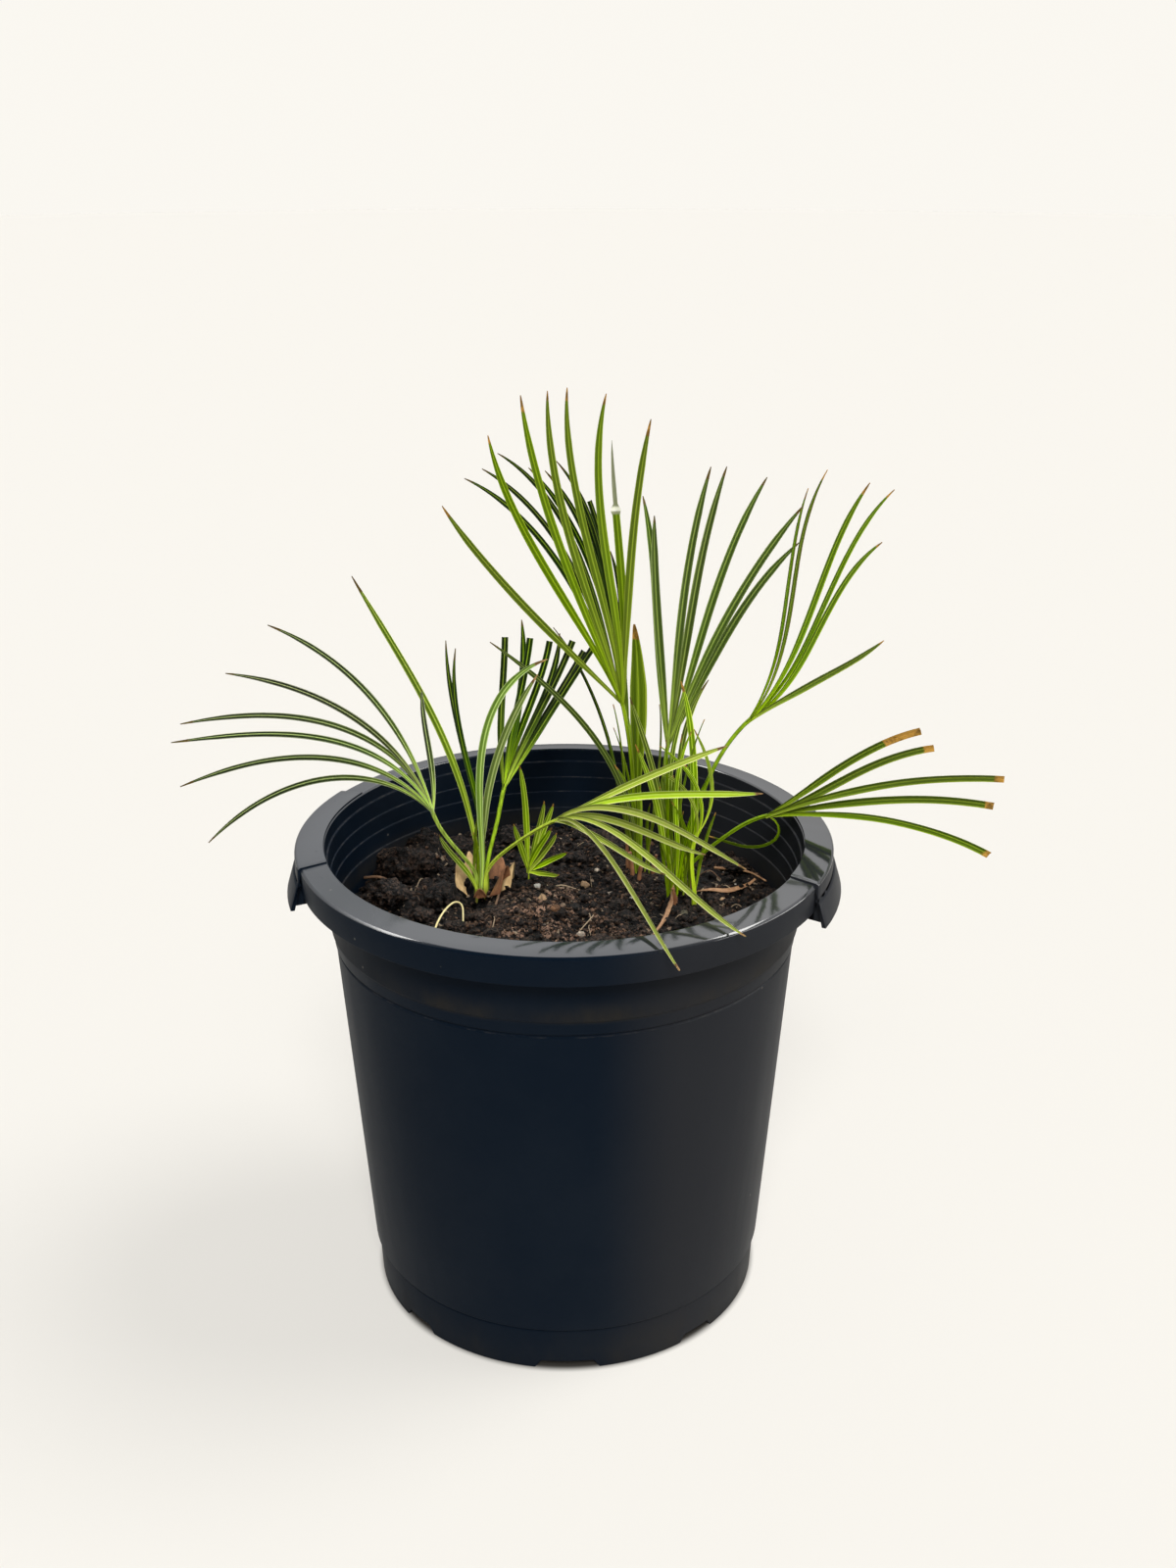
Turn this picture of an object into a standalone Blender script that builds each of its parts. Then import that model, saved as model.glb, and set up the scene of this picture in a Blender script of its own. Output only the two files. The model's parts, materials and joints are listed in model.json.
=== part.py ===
"""Potted paurotis palm: a clump of young fan palms in a moulded nursery pot.

The origin is the middle of the pot's foot, +Z is up and the front of the pot faces -Y.
Sizes below are millimetres. MM turns them into metres.
"""
import math

import bmesh
import bpy
from mathutils import Vector, noise

MM = 0.001
NAME = "potted_paurotis_palm"
GAP = 0.3

# Pot, as radius and height
RIM_R = 140.0
RIM_TOP_Z = 262.1
RIM_EDGE_Z = 260.3
MOUTH_R = 125.6
SKIRT_BOTTOM_Z = 244.9
SKIRT_WALL = 2.3
COLLAR_R = 124.8
COLLAR_BOTTOM_Z = 218.0
BODY_TOP_R = 122.3
BODY_TOP_Z = 209.0
BODY_FOOT_R = 109.1
FOOT_R = 106.0
FOOT_Z = 26.0
CHANNEL_Z = 6.0
CHANNEL_IN_R = 70.0
CHANNEL_OUT_R = 103.0
POT_STEPS = 52
LEDGES = ((226.2, 121.0, 121.9), (236.2, 122.1, 122.9), (245.0, 123.1, 123.9), (254.6, 124.2, 125.3))

# Drainage notches in the foot: turn from the front, and width at the floor, in degrees
NOTCH_H = 5.3
NOTCH_WIDE = 19.0
NOTCH_NARROW = 13.0
NOTCH_NARROW_TURN = 41.0
DRAIN_R = 86.5
DRAIN_HOLE_R = 7.0
DRAIN_HOLES = 8

# Grip handles: turn of their middles from the front, and half of what they span, in degrees
HANDLE_TURNS = (85.0, -95.0)
HANDLE_HALF = 22.0
HANDLE_RAISE = 0.8
HANDLE_PROUD = 1.2
FLAP_BOTTOM_Z = 237.6
FLAP_BOTTOM_R = 146.2
FLAP_WALL = 2.3
END_PLATE = 1.0

# Soil
SOIL_Z = 216.0
SOIL_R = 118.9
SOIL_RINGS = 9
SOIL_STEPS = 40
SOIL_ROUGH = 2.6
SOIL_CLODS = (
    (-80, 72, 13, 15),
    (-70, 22, 9, 9),
    (-92, 10, 8, 12),
    (-100, 52, 6, 9),
    (-30, -34, 5, 22),
    (-2, -8, 9, 30),
    (-30, 92, 7, 16),
    (24, 78, 5, 18),
    (34, -62, 4, 26),
    (92, 52, 4, 14),
    (-48, 13, -8, 10),
    (26, 30, -4, 14),
)

# Stems in the soil, and the soil's clearances
HOLE_R = 2.1
HOLE_BOTTOM_Z = 188.0
STEM_BOTTOM_Z = HOLE_BOTTOM_Z + GAP
STEM_WIDE = 1.3
STEM_THICK = 1.05
COLLAR_OF_STEM_Z = 222.0

# Leaves
LEAFLET_THICK = 1.0
LEAFLET_FOLD = 0.42
LEAFLET_CUTS = 6
PLEAT_STEP = 0.35
LAYER_LIFT = 0.06
LAYER_AXIS = Vector((0.0, -0.93, 0.37))
ROOT_SINK = 4.0
THINNING = 0.8

GREEN_BRIGHT = (0.21, 0.42, 0.035, 1.0)
GREEN_MID = (0.12, 0.30, 0.04, 1.0)
GREEN_DARK = (0.035, 0.11, 0.03, 1.0)
GREEN_PALE = (0.30, 0.42, 0.16, 1.0)
STRAW = (0.42, 0.24, 0.12, 1.0)
ROOT_PALE = (0.62, 0.52, 0.28, 1.0)
SOIL_BROWN = (0.035, 0.022, 0.014, 1.0)
POT_BLACK = (0.012, 0.017, 0.024, 1.0)

# Each leaf: its foot on the soil, the neck where its leaflets part, the turn and backward tilt of the
# plane they fan out in, their half width, colour, and the leaflets. A leaflet gives its lean from
# upright at its root, middle and tip, in degrees, and its length. A fifth value replaces the plane's
# turn for that leaflet, and CUT at the end marks one that was trimmed square.
CUT = "cut"
FANS = {
    "frond_left_fan": dict(
        foot=(-53, 31), neck=(-71, 22, 265), turn=24, tilt=8, half=2.2, colour=GREEN_MID,
        leaflets=[(-37, -90, -129, 137), (-30, -78, -105, 147), (-20, -71, -90, 154), (-15, -66, -93, 159),
                  (-16, -50, -76, 143), (-11, -34, -63, 140), (13, -5, 5, 68)]),
    "frond_left_cut": dict(
        foot=(-39, 39), neck=(-33, 42, 271), turn=12, tilt=20, half=2.0, colour=GREEN_DARK,
        leaflets=[(-5, 7, 5, 83, CUT), (14, 13, -3, 93), (8, 17, 11, 83, CUT), (13, 26, 14, 85, CUT),
                  (24, 29, 7, 91), (25, 32, 26, 89, CUT), (32, 36, 34, 88, CUT), (36, 37, 39, 91, CUT)]),
    "frond_left_arching": dict(
        foot=(-40, 27), neck=(-4, -6, 272), turn=-42, tilt=0, half=2.0, colour=GREEN_MID,
        leaflets=[(58, 62, 67, 100, -10), (52, 76, 78, 121, -28), (49, 88, 104, 132, -45),
                  (57, 94, 90, 94, -37), (58, 102, 95, 150, -53), (74, 92, 85, 92, -55),
                  (61, 99, 103, 166, -70)]),
    "frond_top_bright": dict(
        foot=(39, 59), neck=(32, 52, 316), turn=-12, tilt=6, half=2.3, colour=GREEN_BRIGHT,
        leaflets=[(-47, -46, -36, 146), (-25, -33, -13, 161), (-23, -22, -9, 171), (-17, -18, 0, 174),
                  (-6, -16, 2, 171), (0, -10, 13, 164), (5, -6, -3, 143), (2, 3, 11, 153)]),
    "frond_top_dark": dict(
        foot=(46, 65), neck=(36, 76, 296), turn=-30, tilt=10, half=1.9, colour=GREEN_DARK,
        leaflets=[(-24, -41, -75, 180), (-22, -36, -72, 175), (-24, -29, -72, 175), (-15, -27, -56, 160),
                  (-17, -22, -54, 152), (-22, -16, -54, 153), (-6, -20, -28, 127, CUT),
                  (-8, -16, -28, 126, CUT), (-14, -8, -29, 96)]),
    "frond_right_dark": dict(
        foot=(57, 29), neck=(56, 35, 298), turn=8, tilt=10, half=2.3, colour=GREEN_MID,
        leaflets=[(-8, -2, -11, 135), (-4, -3, 2, 123), (7, 8, 19, 148), (14, 11, 22, 153),
                  (20, 19, 34, 152), (22, 30, 43, 145), (30, 32, 51, 131)]),
    "frond_right_high": dict(
        foot=(66, 24), neck=(100, 45, 308), turn=20, tilt=4, half=2.1, colour=GREEN_MID,
        leaflets=[(39, 9, 23, 131), (45, 9, 35, 142), (50, 22, 41, 142), (58, 27, 54, 151),
                  (67, 30, 63, 123), (61, 69, 61, 89)]),
    "frond_right_low": dict(
        foot=(68, 14), neck=(108, 8, 268), turn=-12, tilt=-8, half=2.3, colour=GREEN_MID,
        leaflets=[(52, 50, 71, 97, CUT), (65, 55, 78, 97, CUT), (62, 74, 90, 124, CUT),
                  (73, 81, 97, 120, CUT), (78, 96, 118, 120, CUT), (95, 255, 280, 56)]),
    "frond_right_curled": dict(
        foot=(70, 7), neck=(71, 9, 257), turn=5, tilt=0, half=1.0, colour=GREEN_PALE,
        leaflets=[(38, -6, -27, 63), (25, -26, -56, 58, -10), (9, -38, -92, 49, -20), (22, -12, -33, 42, 8)]),
    "seedling": dict(
        foot=(-20, 37), neck=(-20, 37, 223), turn=0, tilt=-10, half=1.7, colour=GREEN_MID,
        leaflets=[(-2, -2, -10, 69), (-9, -15, -13, 32), (3, 10, 4, 45, 25), (13, 19, 17, 46),
                  (13, 31, 30, 36, -25), (28, 34, 25, 30), (55, 61, 65, 25), (84, 90, 91, 18, -20)]),
    "leaf_left_tall": dict(
        foot=(-49, 38), neck=None, turn=-25, tilt=0, half=2.2, colour=GREEN_MID,
        leaflets=[(5, -27, -34, 184)]),
    "leaf_left_pair": dict(
        foot=(-44, 43), neck=None, turn=15, tilt=0, half=1.6, colour=GREEN_DARK,
        leaflets=[(2, -12, 1, 140), (4, -12, 10, 135, 22)]),
    "leaf_left_folded": dict(
        foot=(-47, 29), neck=None, turn=-20, tilt=0, half=2.2, colour=GREEN_PALE,
        leaflets=[(9, 6, 69, 150)]),
    "leaf_left_pale": dict(
        foot=(-42, 33), neck=None, turn=-20, tilt=0, half=2.2, colour=GREEN_PALE,
        leaflets=[(-9, 14, 33, 131)]),
    "leaf_left_stub": dict(
        foot=(-52, 25), neck=None, turn=15, tilt=0, half=1.6, colour=GREEN_MID,
        leaflets=[(-10, -30, -11, 38)]),
    "leaf_right_thin": dict(
        foot=(37, 50), neck=None, turn=-2, tilt=0, half=1.7, colour=GREEN_BRIGHT,
        leaflets=[(11, -33, -54, 162)]),
    "leaf_right_slim": dict(
        foot=(34, 59), neck=None, turn=-42, tilt=0, half=1.2, colour=GREEN_DARK,
        leaflets=[(0, -20, -53, 144)]),
    "spear_leaf": dict(
        foot=(45, 46), neck=None, turn=0, tilt=0, half=3.4, colour=GREEN_BRIGHT,
        leaflets=[(-10, 0, -7, 145)]),
    "leaf_sheaf_1": dict(
        foot=(55, 20), neck=None, turn=-25, tilt=0, half=2.0, colour=GREEN_MID,
        leaflets=[(8, -13, -22, 113)]),
    "leaf_sheaf_2": dict(
        foot=(54, 12), neck=None, turn=5, tilt=0, half=1.6, colour=GREEN_MID,
        leaflets=[(3, -10, -24, 92)]),
    "leaf_sheaf_3": dict(
        foot=(61, 25), neck=None, turn=10, tilt=0, half=1.6, colour=GREEN_DARK,
        leaflets=[(-5, -1, 25, 110)]),
    "leaf_sheaf_4": dict(
        foot=(64, 9), neck=None, turn=10, tilt=0, half=1.4, colour=GREEN_DARK,
        leaflets=[(-1, -4, 28, 99)]),
    "leaf_sheaf_5": dict(
        foot=(65, 33), neck=None, turn=15, tilt=0, half=1.7, colour=GREEN_DARK,
        leaflets=[(0, 0, 37, 120)]),
    "leaf_sheaf_6": dict(
        foot=(74, 18), neck=None, turn=0, tilt=0, half=2.0, colour=GREEN_BRIGHT,
        leaflets=[(-10, -2, -17, 123)]),
}

# The dry leaf base behind the left plant
HUSK_PLACE = (-46.0, 33.0)
HUSK_R = 13.0
HUSK_LEVELS = (0.55, 7.0, 13.5)

# Litter on the soil: points along each piece, its half width and its colour
LITTER = {
    "dry_leaf_front": dict(
        half=1.9, colour=STRAW, points=[(57, 2, 0), (54, -14, 0), (48, -28, 0), (43, -42, 0)]),
    "dry_leaf_side": dict(
        half=2.2, colour=STRAW, points=[(80, 22, 0), (90, 24, 0), (101, 30, 0), (106, 34, 0)]),
    "dry_stalk": dict(
        half=1.0, colour=STRAW, points=[(84, 46, 0), (95, 45, 0), (104, 42, 0), (112, 34, 0)]),
    "root_loop": dict(
        half=0.8, colour=ROOT_PALE,
        points=[(-69, -22, 0), (-65, -11, 4), (-59, -3, 7), (-55, -7, 5.5), (-54, -15, 0)]),
}


def clear_scene():
    for item in list(bpy.data.objects):
        bpy.data.objects.remove(item)


def new_collection(title):
    group = bpy.data.collections.new(title)
    bpy.context.scene.collection.children.link(group)
    return group


def material(title, colour, roughness):
    """A Principled material, made once for each name."""
    known = bpy.data.materials.get(title)
    if known:
        return known
    made = bpy.data.materials.new(title)
    made.use_nodes = True
    shader = made.node_tree.nodes["Principled BSDF"]
    shader.inputs["Base Color"].default_value = colour
    shader.inputs["Roughness"].default_value = roughness
    shader.inputs["Metallic"].default_value = 0.0
    made.diffuse_color = colour
    return made


def add_object(title, bm, group):
    """Turn a bmesh in millimetres into an object in metres."""
    bmesh.ops.scale(bm, verts=bm.verts, vec=(MM, MM, MM))
    mesh = bpy.data.meshes.new(title)
    bm.to_mesh(mesh)
    bm.free()
    made = bpy.data.objects.new(title, mesh)
    group.objects.link(made)
    return made


def bake(made):
    """Replace an object's mesh by the result of its modifiers."""
    graph = bpy.context.evaluated_depsgraph_get()
    mesh = bpy.data.meshes.new_from_object(made.evaluated_get(graph))
    made.modifiers.clear()
    made.data = mesh


def add_boolean(made, operation, group, solver="EXACT"):
    cut = made.modifiers.new(operation.title(), "BOOLEAN")
    cut.operation = operation
    cut.operand_type = "COLLECTION"
    cut.collection = group
    cut.solver = solver


def keep_outer_shell(made):
    """Fill the tiny pockets that fused leaflets can close off, by dropping every shell but the largest."""
    bm = bmesh.new()
    bm.from_mesh(made.data)
    waiting = set(bm.verts)
    shells = []
    while waiting:
        front = [waiting.pop()]
        shell = set(front)
        while front:
            for edge in front.pop().link_edges:
                for near in edge.verts:
                    if near in waiting:
                        waiting.discard(near)
                        shell.add(near)
                        front.append(near)
        shells.append(shell)
    shells.sort(key=len)
    for shell in shells[:-1]:
        bmesh.ops.delete(bm, geom=list(shell), context="VERTS")
    bm.to_mesh(made.data)
    bm.free()


def join_pieces(made, group, solver="MANIFOLD"):
    """Fuse a collection's solids into an object, then remove them."""
    add_boolean(made, "UNION", group, solver)
    bake(made)
    keep_outer_shell(made)
    for piece in list(group.objects):
        bpy.data.objects.remove(piece)
    bpy.data.collections.remove(group)


def finish_object(made, title, colour, roughness, smooth=40.0):
    made.data.materials.clear()
    made.data.materials.append(material(title, colour, roughness))
    made.data.shade_smooth()
    made.data.set_sharp_from_angle(angle=math.radians(smooth))


def hide_cutter(made):
    made.hide_render = True
    made.display_type = "WIRE"


def polar(radius, degrees, height):
    """A point by radius and turn, where 0 is the front (-Y) and 90 is the right (+X)."""
    turn = math.radians(degrees)
    return Vector((radius * math.sin(turn), -radius * math.cos(turn), height))


def turned(title, profile, steps, group):
    """A solid of revolution: the profile rises inside and runs down its outer side."""
    bm = bmesh.new()
    points = [bm.verts.new((radius, 0, height)) for radius, height in profile]
    for first, second in zip(points, points[1:]):
        bm.edges.new((first, second))
    made = add_object(title, bm, group)
    screw = made.modifiers.new("Turn", "SCREW")
    screw.axis = "Z"
    screw.angle = math.tau
    screw.steps = steps
    screw.render_steps = steps
    screw.use_merge_vertices = True
    screw.merge_threshold = 0.00005
    screw.use_smooth_shade = True
    bake(made)
    return made


def ring_sector(title, profile, start, sweep, steps, group):
    """A profile of (radius, height) points swept about the pot's axis, from one turn to another."""
    bm = bmesh.new()
    face = bm.faces.new([bm.verts.new(polar(radius, start, height)) for radius, height in profile])
    parts = [face] + list(face.edges) + list(face.verts)
    bmesh.ops.spin(bm, geom=parts, cent=(0, 0, 0), axis=(0, 0, 1), angle=math.radians(sweep), steps=steps)
    bmesh.ops.recalc_face_normals(bm, faces=bm.faces)
    return add_object(title, bm, group)


def lofted(title, rings, group):
    """A closed skin over a row of rings with the same number of points."""
    bm = bmesh.new()
    rows = [[bm.verts.new(point) for point in ring] for ring in rings]
    count = len(rows[0])
    for low, high in zip(rows, rows[1:]):
        for i in range(count):
            j = (i + 1) % count
            bm.faces.new((low[i], low[j], high[j], high[i]))
    bm.faces.new(rows[0][::-1])
    bm.faces.new(rows[-1])
    bmesh.ops.triangulate(bm, faces=bm.faces)
    bmesh.ops.recalc_face_normals(bm, faces=bm.faces)
    return add_object(title, bm, group)


def pot_profile():
    """The pot's section, from the middle of its floor inside to the middle of its foot outside."""
    inner = [(0, 2.6), (67.0, 2.6), (69.6, 8.6), (104.4, 8.6), (BODY_FOOT_R - 2.5, FOOT_Z),
             (BODY_TOP_R - 2.5, BODY_TOP_Z), (120.4, 217.6)]
    for height, low_r, high_r in LEDGES:
        inner += [(low_r, height - 0.2), (high_r, height + 0.2)]
    rim = [(MOUTH_R, RIM_TOP_Z - 0.6), (MOUTH_R + 0.7, RIM_TOP_Z), (RIM_R - 0.8, RIM_EDGE_Z),
           (RIM_R, RIM_EDGE_Z - 1.0)]
    skirt_in = RIM_R - 0.6 - SKIRT_WALL
    skirt = [(RIM_R - 0.6, SKIRT_BOTTOM_Z), (skirt_in, SKIRT_BOTTOM_Z), (skirt_in, RIM_EDGE_Z - 2.7),
             (127.6, RIM_TOP_Z - 3.6), (127.4, 248.0), (COLLAR_R, 243.0)]
    outer = [(COLLAR_R - 0.3, COLLAR_BOTTOM_Z), (BODY_TOP_R + 0.5, BODY_TOP_Z + 1.0),
             (BODY_TOP_R - 0.2, BODY_TOP_Z + 0.4), (BODY_TOP_R, BODY_TOP_Z - 0.6),
             (BODY_FOOT_R, FOOT_Z + 0.4), (BODY_FOOT_R - 1.2, FOOT_Z - 0.4),
             (FOOT_R + 0.2, 0.6), (FOOT_R - 0.4, 0)]
    under = [(CHANNEL_OUT_R + 0.4, 0), (CHANNEL_OUT_R, CHANNEL_Z), (CHANNEL_IN_R, CHANNEL_Z),
             (CHANNEL_IN_R - 2.6, 0), (0, 0)]
    return inner + rim + skirt + outer + under


def notch_cutter(turn, width, group):
    """A block through the foot ring, narrower at its top."""
    bm = bmesh.new()
    bmesh.ops.create_cube(bm, size=1.0)
    half_low = FOOT_R * math.sin(math.radians(width / 2))
    half_high = FOOT_R * math.sin(math.radians(width / 2 - 1.9))
    for corner in bm.verts:
        top = corner.co.z > 0
        side = math.copysign(half_high if top else half_low + 0.6, corner.co.x)
        depth = -FOOT_R - 4.0 if corner.co.y < 0 else -FOOT_R + 7.5
        corner.co = (side, depth, NOTCH_H if top else -1.0)
    made = add_object(f"notch_cutter_{turn:.0f}", bm, group)
    made.rotation_euler.z = math.radians(turn)
    hide_cutter(made)


def drain_cutter(index, group):
    bm = bmesh.new()
    radius = DRAIN_HOLE_R
    bmesh.ops.create_cone(bm, cap_ends=True, segments=12, radius1=radius, radius2=radius, depth=8.0)
    made = add_object(f"drain_cutter_{index}", bm, group)
    made.location = polar(DRAIN_R, (index + 0.5) * 360 / DRAIN_HOLES, 7.5) * MM
    hide_cutter(made)


def add_handle(turn, pieces):
    """Raised rim segment with its flap, and the end plates that close it to the wall."""
    mouth = MOUTH_R + 0.6
    flap = [(mouth, RIM_TOP_Z - 0.9), (mouth, RIM_TOP_Z + HANDLE_RAISE),
            (RIM_R + 0.2, RIM_EDGE_Z + HANDLE_RAISE), (RIM_R + HANDLE_PROUD, RIM_EDGE_Z - 0.1),
            (FLAP_BOTTOM_R, FLAP_BOTTOM_Z), (FLAP_BOTTOM_R - FLAP_WALL, FLAP_BOTTOM_Z),
            (RIM_R - 0.9, RIM_EDGE_Z - 1.9)]
    plate = [(126.5, 258.4), (139.4, 258.4), (144.4, 238.7), (131.0, 239.8), (124.1, 243.4), (126.3, 249.0)]
    ring_sector(f"flap_{turn:.0f}", flap, turn - HANDLE_HALF, 2 * HANDLE_HALF, 9, pieces)
    for side in (-1, 1):
        edge = turn + side * (HANDLE_HALF - 0.1) - (END_PLATE if side > 0 else 0)
        ring_sector(f"plate_{turn:.0f}_{side}", plate, edge, END_PLATE, 1, pieces)


def skirt_cutter(turn, group):
    """Takes the plain skirt away inside a handle, so that fingers reach behind the flap."""
    span = HANDLE_HALF - 1.2
    section = [(128.0, 236.0), (128.0, 257.2), (RIM_R + 2.0, 257.2), (RIM_R + 2.0, 236.0)]
    made = ring_sector(f"skirt_cutter_{turn:.0f}", section, turn - span, 2 * span, 9, group)
    hide_cutter(made)


def build_pot(parts, cutters):
    pot = turned("pot", pot_profile(), POT_STEPS, parts)
    cuts = bpy.data.collections.new("pot_cutters")
    cutters.children.link(cuts)
    for quarter in range(4):
        notch_cutter(quarter * 90.0, NOTCH_WIDE, cuts)
        notch_cutter(quarter * 90.0 + NOTCH_NARROW_TURN, NOTCH_NARROW, cuts)
    for index in range(DRAIN_HOLES):
        drain_cutter(index, cuts)
    for turn in HANDLE_TURNS:
        skirt_cutter(turn, cuts)
    add_boolean(pot, "DIFFERENCE", cuts)
    bake(pot)
    pieces = new_collection("handles")
    for turn in HANDLE_TURNS:
        add_handle(turn, pieces)
    join_pieces(pot, pieces, "EXACT")
    finish_object(pot, "pot_plastic", POT_BLACK, 0.42)
    return pot


def soil_height(x, y):
    """Height of the soil's surface: clods and a pit as soft bumps, and fine unevenness."""
    height = SOIL_Z
    for centre_x, centre_y, rise, reach in SOIL_CLODS:
        away = ((x - centre_x) ** 2 + (y - centre_y) ** 2) / reach ** 2
        height += rise * math.exp(-away)
    coarse = noise.noise(Vector((x, y, 0)) / 17.0)
    fine = noise.noise(Vector((x, y, 90)) / 8.0)
    return height + SOIL_ROUGH * (coarse + 0.5 * fine)


def soil_profile():
    below = [(103.6, 8.95), (69.1, 8.95), (66.5, 2.95), (0, 2.95)]
    wall = [(SOIL_R, SOIL_Z - 3.0), (SOIL_R - 0.4, BODY_TOP_Z - 4.0), (105.7, FOOT_Z)]
    top = [(SOIL_R * ring / SOIL_RINGS, SOIL_Z) for ring in range(SOIL_RINGS + 1)]
    return top + wall + below


def hole_cutter(title, foot, group):
    bm = bmesh.new()
    depth = SOIL_Z + 20.0 - HOLE_BOTTOM_Z
    bmesh.ops.create_cone(bm, cap_ends=True, segments=8, radius1=HOLE_R, radius2=HOLE_R, depth=depth)
    made = add_object(f"hole_{title}", bm, group)
    made.location = Vector((foot[0], foot[1], HOLE_BOTTOM_Z + depth / 2)) * MM
    made.rotation_euler.z = 0.2
    hide_cutter(made)


def build_soil(parts, cutters):
    soil = turned("soil", soil_profile(), SOIL_STEPS, parts)
    for point in soil.data.vertices:
        if abs(point.co.z - SOIL_Z * MM) < 0.01 * MM:
            point.co.z = soil_height(point.co.x / MM, point.co.y / MM) * MM
    holes = bpy.data.collections.new("soil_cutters")
    cutters.children.link(holes)
    for title, fan in FANS.items():
        hole_cutter(title, fan["foot"], holes)
    soil.modifiers.new("Flat faces", "TRIANGULATE")
    add_boolean(soil, "DIFFERENCE", holes)
    bake(soil)
    finish_object(soil, "potting_mix", SOIL_BROWN, 0.95)
    return soil


def fan_axes(turn, tilt):
    """The directions across and up a fan's plane, and the one that its face looks along."""
    yaw, back = math.radians(turn), math.radians(tilt)
    across = Vector((math.cos(yaw), math.sin(yaw), 0))
    up = Vector((-math.sin(yaw) * math.sin(back), math.cos(yaw) * math.sin(back), math.cos(back)))
    return across, up, across.cross(up)


def lean_at(leans, share):
    """Lean at a share of the length: a parabola through the leans at root, middle and tip."""
    root, middle, tip = leans
    return root + (4 * middle - 3 * root - tip) * share + 2 * (root + tip - 2 * middle) * share ** 2


def breadth(share, trimmed):
    """Width of a leaflet along its length, against its widest."""
    rise = min(1.0, 0.36 + 2.2 * share)
    if trimmed:
        return rise * (1.0 - 0.12 * share)
    return rise * min(1.0, 0.10 + 1.25 * (1.0 - share) ** 0.6)


def leaflet_rings(origin, axes, leans, length, half, trimmed, cuts, lift, sunk_along):
    """Folded sections along a leaflet: two edges, the valley between them and the keel."""
    across, up, face = axes
    start = math.radians(lean_at(leans, 0) if sunk_along else 0)
    middle = origin - (across * math.sin(start) + up * math.cos(start)) * ROOT_SINK
    rings = []
    fine = 6
    for step in range(cuts * fine + 1):
        share = step / (cuts * fine)
        lean = math.radians(lean_at(leans, share))
        ahead = across * math.sin(lean) + up * math.cos(lean)
        side = across * math.cos(lean) - up * math.sin(lean)
        if step % fine == 0:
            wide = half * breadth(share, trimmed)
            thick = LEAFLET_THICK * (0.62 + 0.38 * breadth(share, trimmed))
            edge = face * (wide * LEAFLET_FOLD)
            left = middle - side * wide + edge
            right = middle + side * wide + edge
            rings.append([left, middle, right, middle - face * thick])
        middle = middle + (ahead + LAYER_AXIS * lift) * ((length + ROOT_SINK) / (cuts * fine))
    return rings


def bezier(first, second, third, fourth, share):
    rest = 1.0 - share
    return (first * rest ** 3 + second * (3 * rest * rest * share) + third * (3 * rest * share * share)
            + fourth * share ** 3)


def stem_rings(foot, neck, ahead):
    """Six-sided sections up a stem: straight in the soil, then one bend to the neck."""
    bottom = Vector((foot[0], foot[1], STEM_BOTTOM_Z))
    collar = Vector((foot[0], foot[1], COLLAR_OF_STEM_Z))
    path = [bottom, collar]
    reach = (neck - collar).length
    if reach > 6.0:
        steps = 5 if reach > 30 else 3
        rise = collar + Vector((0, 0, 0.18 * reach))
        lead = neck - ahead * (0.4 * reach)
        path += [bezier(collar, rise, lead, neck, (step + 1) / steps) for step in range(steps)]
        path.append(neck + ahead * 1.5)
    rings = []
    for index, point in enumerate(path):
        after = path[min(index + 1, len(path) - 1)]
        before = path[max(index - 1, 0)]
        along = (after - before).normalized()
        side = Vector((1, 0, 0)) - along * along.x
        side.normalize()
        front = side.cross(along)
        ring = []
        for corner in range(6):
            turn = math.tau * corner / 6
            ring.append(point + side * (STEM_WIDE * math.cos(turn)) + front * (STEM_THICK * math.sin(turn)))
        rings.append(ring)
    return rings


def build_fan(title, fan, parts):
    """A stem with its leaflets, fused into one body."""
    foot = fan["foot"]
    ahead = Vector((0, 0, 1))
    if fan["neck"]:
        neck = Vector(fan["neck"])
        origin = neck
        across, up, _ = fan_axes(fan["turn"], fan["tilt"])
        mean = math.radians(sum(leaflet[0] for leaflet in fan["leaflets"]) / len(fan["leaflets"]))
        ahead = across * math.sin(mean) + up * math.cos(mean)
    else:
        neck = Vector((foot[0], foot[1], COLLAR_OF_STEM_Z))
        origin = Vector((foot[0], foot[1], 218.0))
    made = lofted(title, stem_rings(foot, neck, ahead), parts)
    pieces = new_collection(f"{title}_leaflets")
    for index, leaflet in enumerate(fan["leaflets"]):
        values = [value for value in leaflet if value != CUT]
        turn = values[4] if len(values) > 4 else fan["turn"]
        axes = fan_axes(turn, fan["tilt"])
        bend = abs(values[2] - values[0])
        cuts = 9 if bend > 120 else (LEAFLET_CUTS if values[3] > 60 else 3)
        layer = index % 3 - 1 if len(fan["leaflets"]) > 2 else index
        start = origin + axes[2] * (PLEAT_STEP * layer)
        lift = LAYER_LIFT * layer
        rings = leaflet_rings(start, axes, values[:3], values[3], fan["half"], CUT in leaflet, cuts, lift,
                              fan["neck"] is not None)
        lofted(f"{title}_{index}", rings, pieces)
    join_pieces(made, pieces)
    thin = made.modifiers.new("Fewer faces", "DECIMATE")
    thin.ratio = THINNING
    bake(made)
    finish_object(made, f"leaf_{title}", fan["colour"], 0.42)


def ground_under(soil, x, y):
    """Height of the soil's modelled surface at a point."""
    found, place, _, _ = soil.ray_cast(Vector((x, y, 400.0)) * MM, Vector((0, 0, -1)))
    return place.z / MM if found else SOIL_Z


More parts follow.
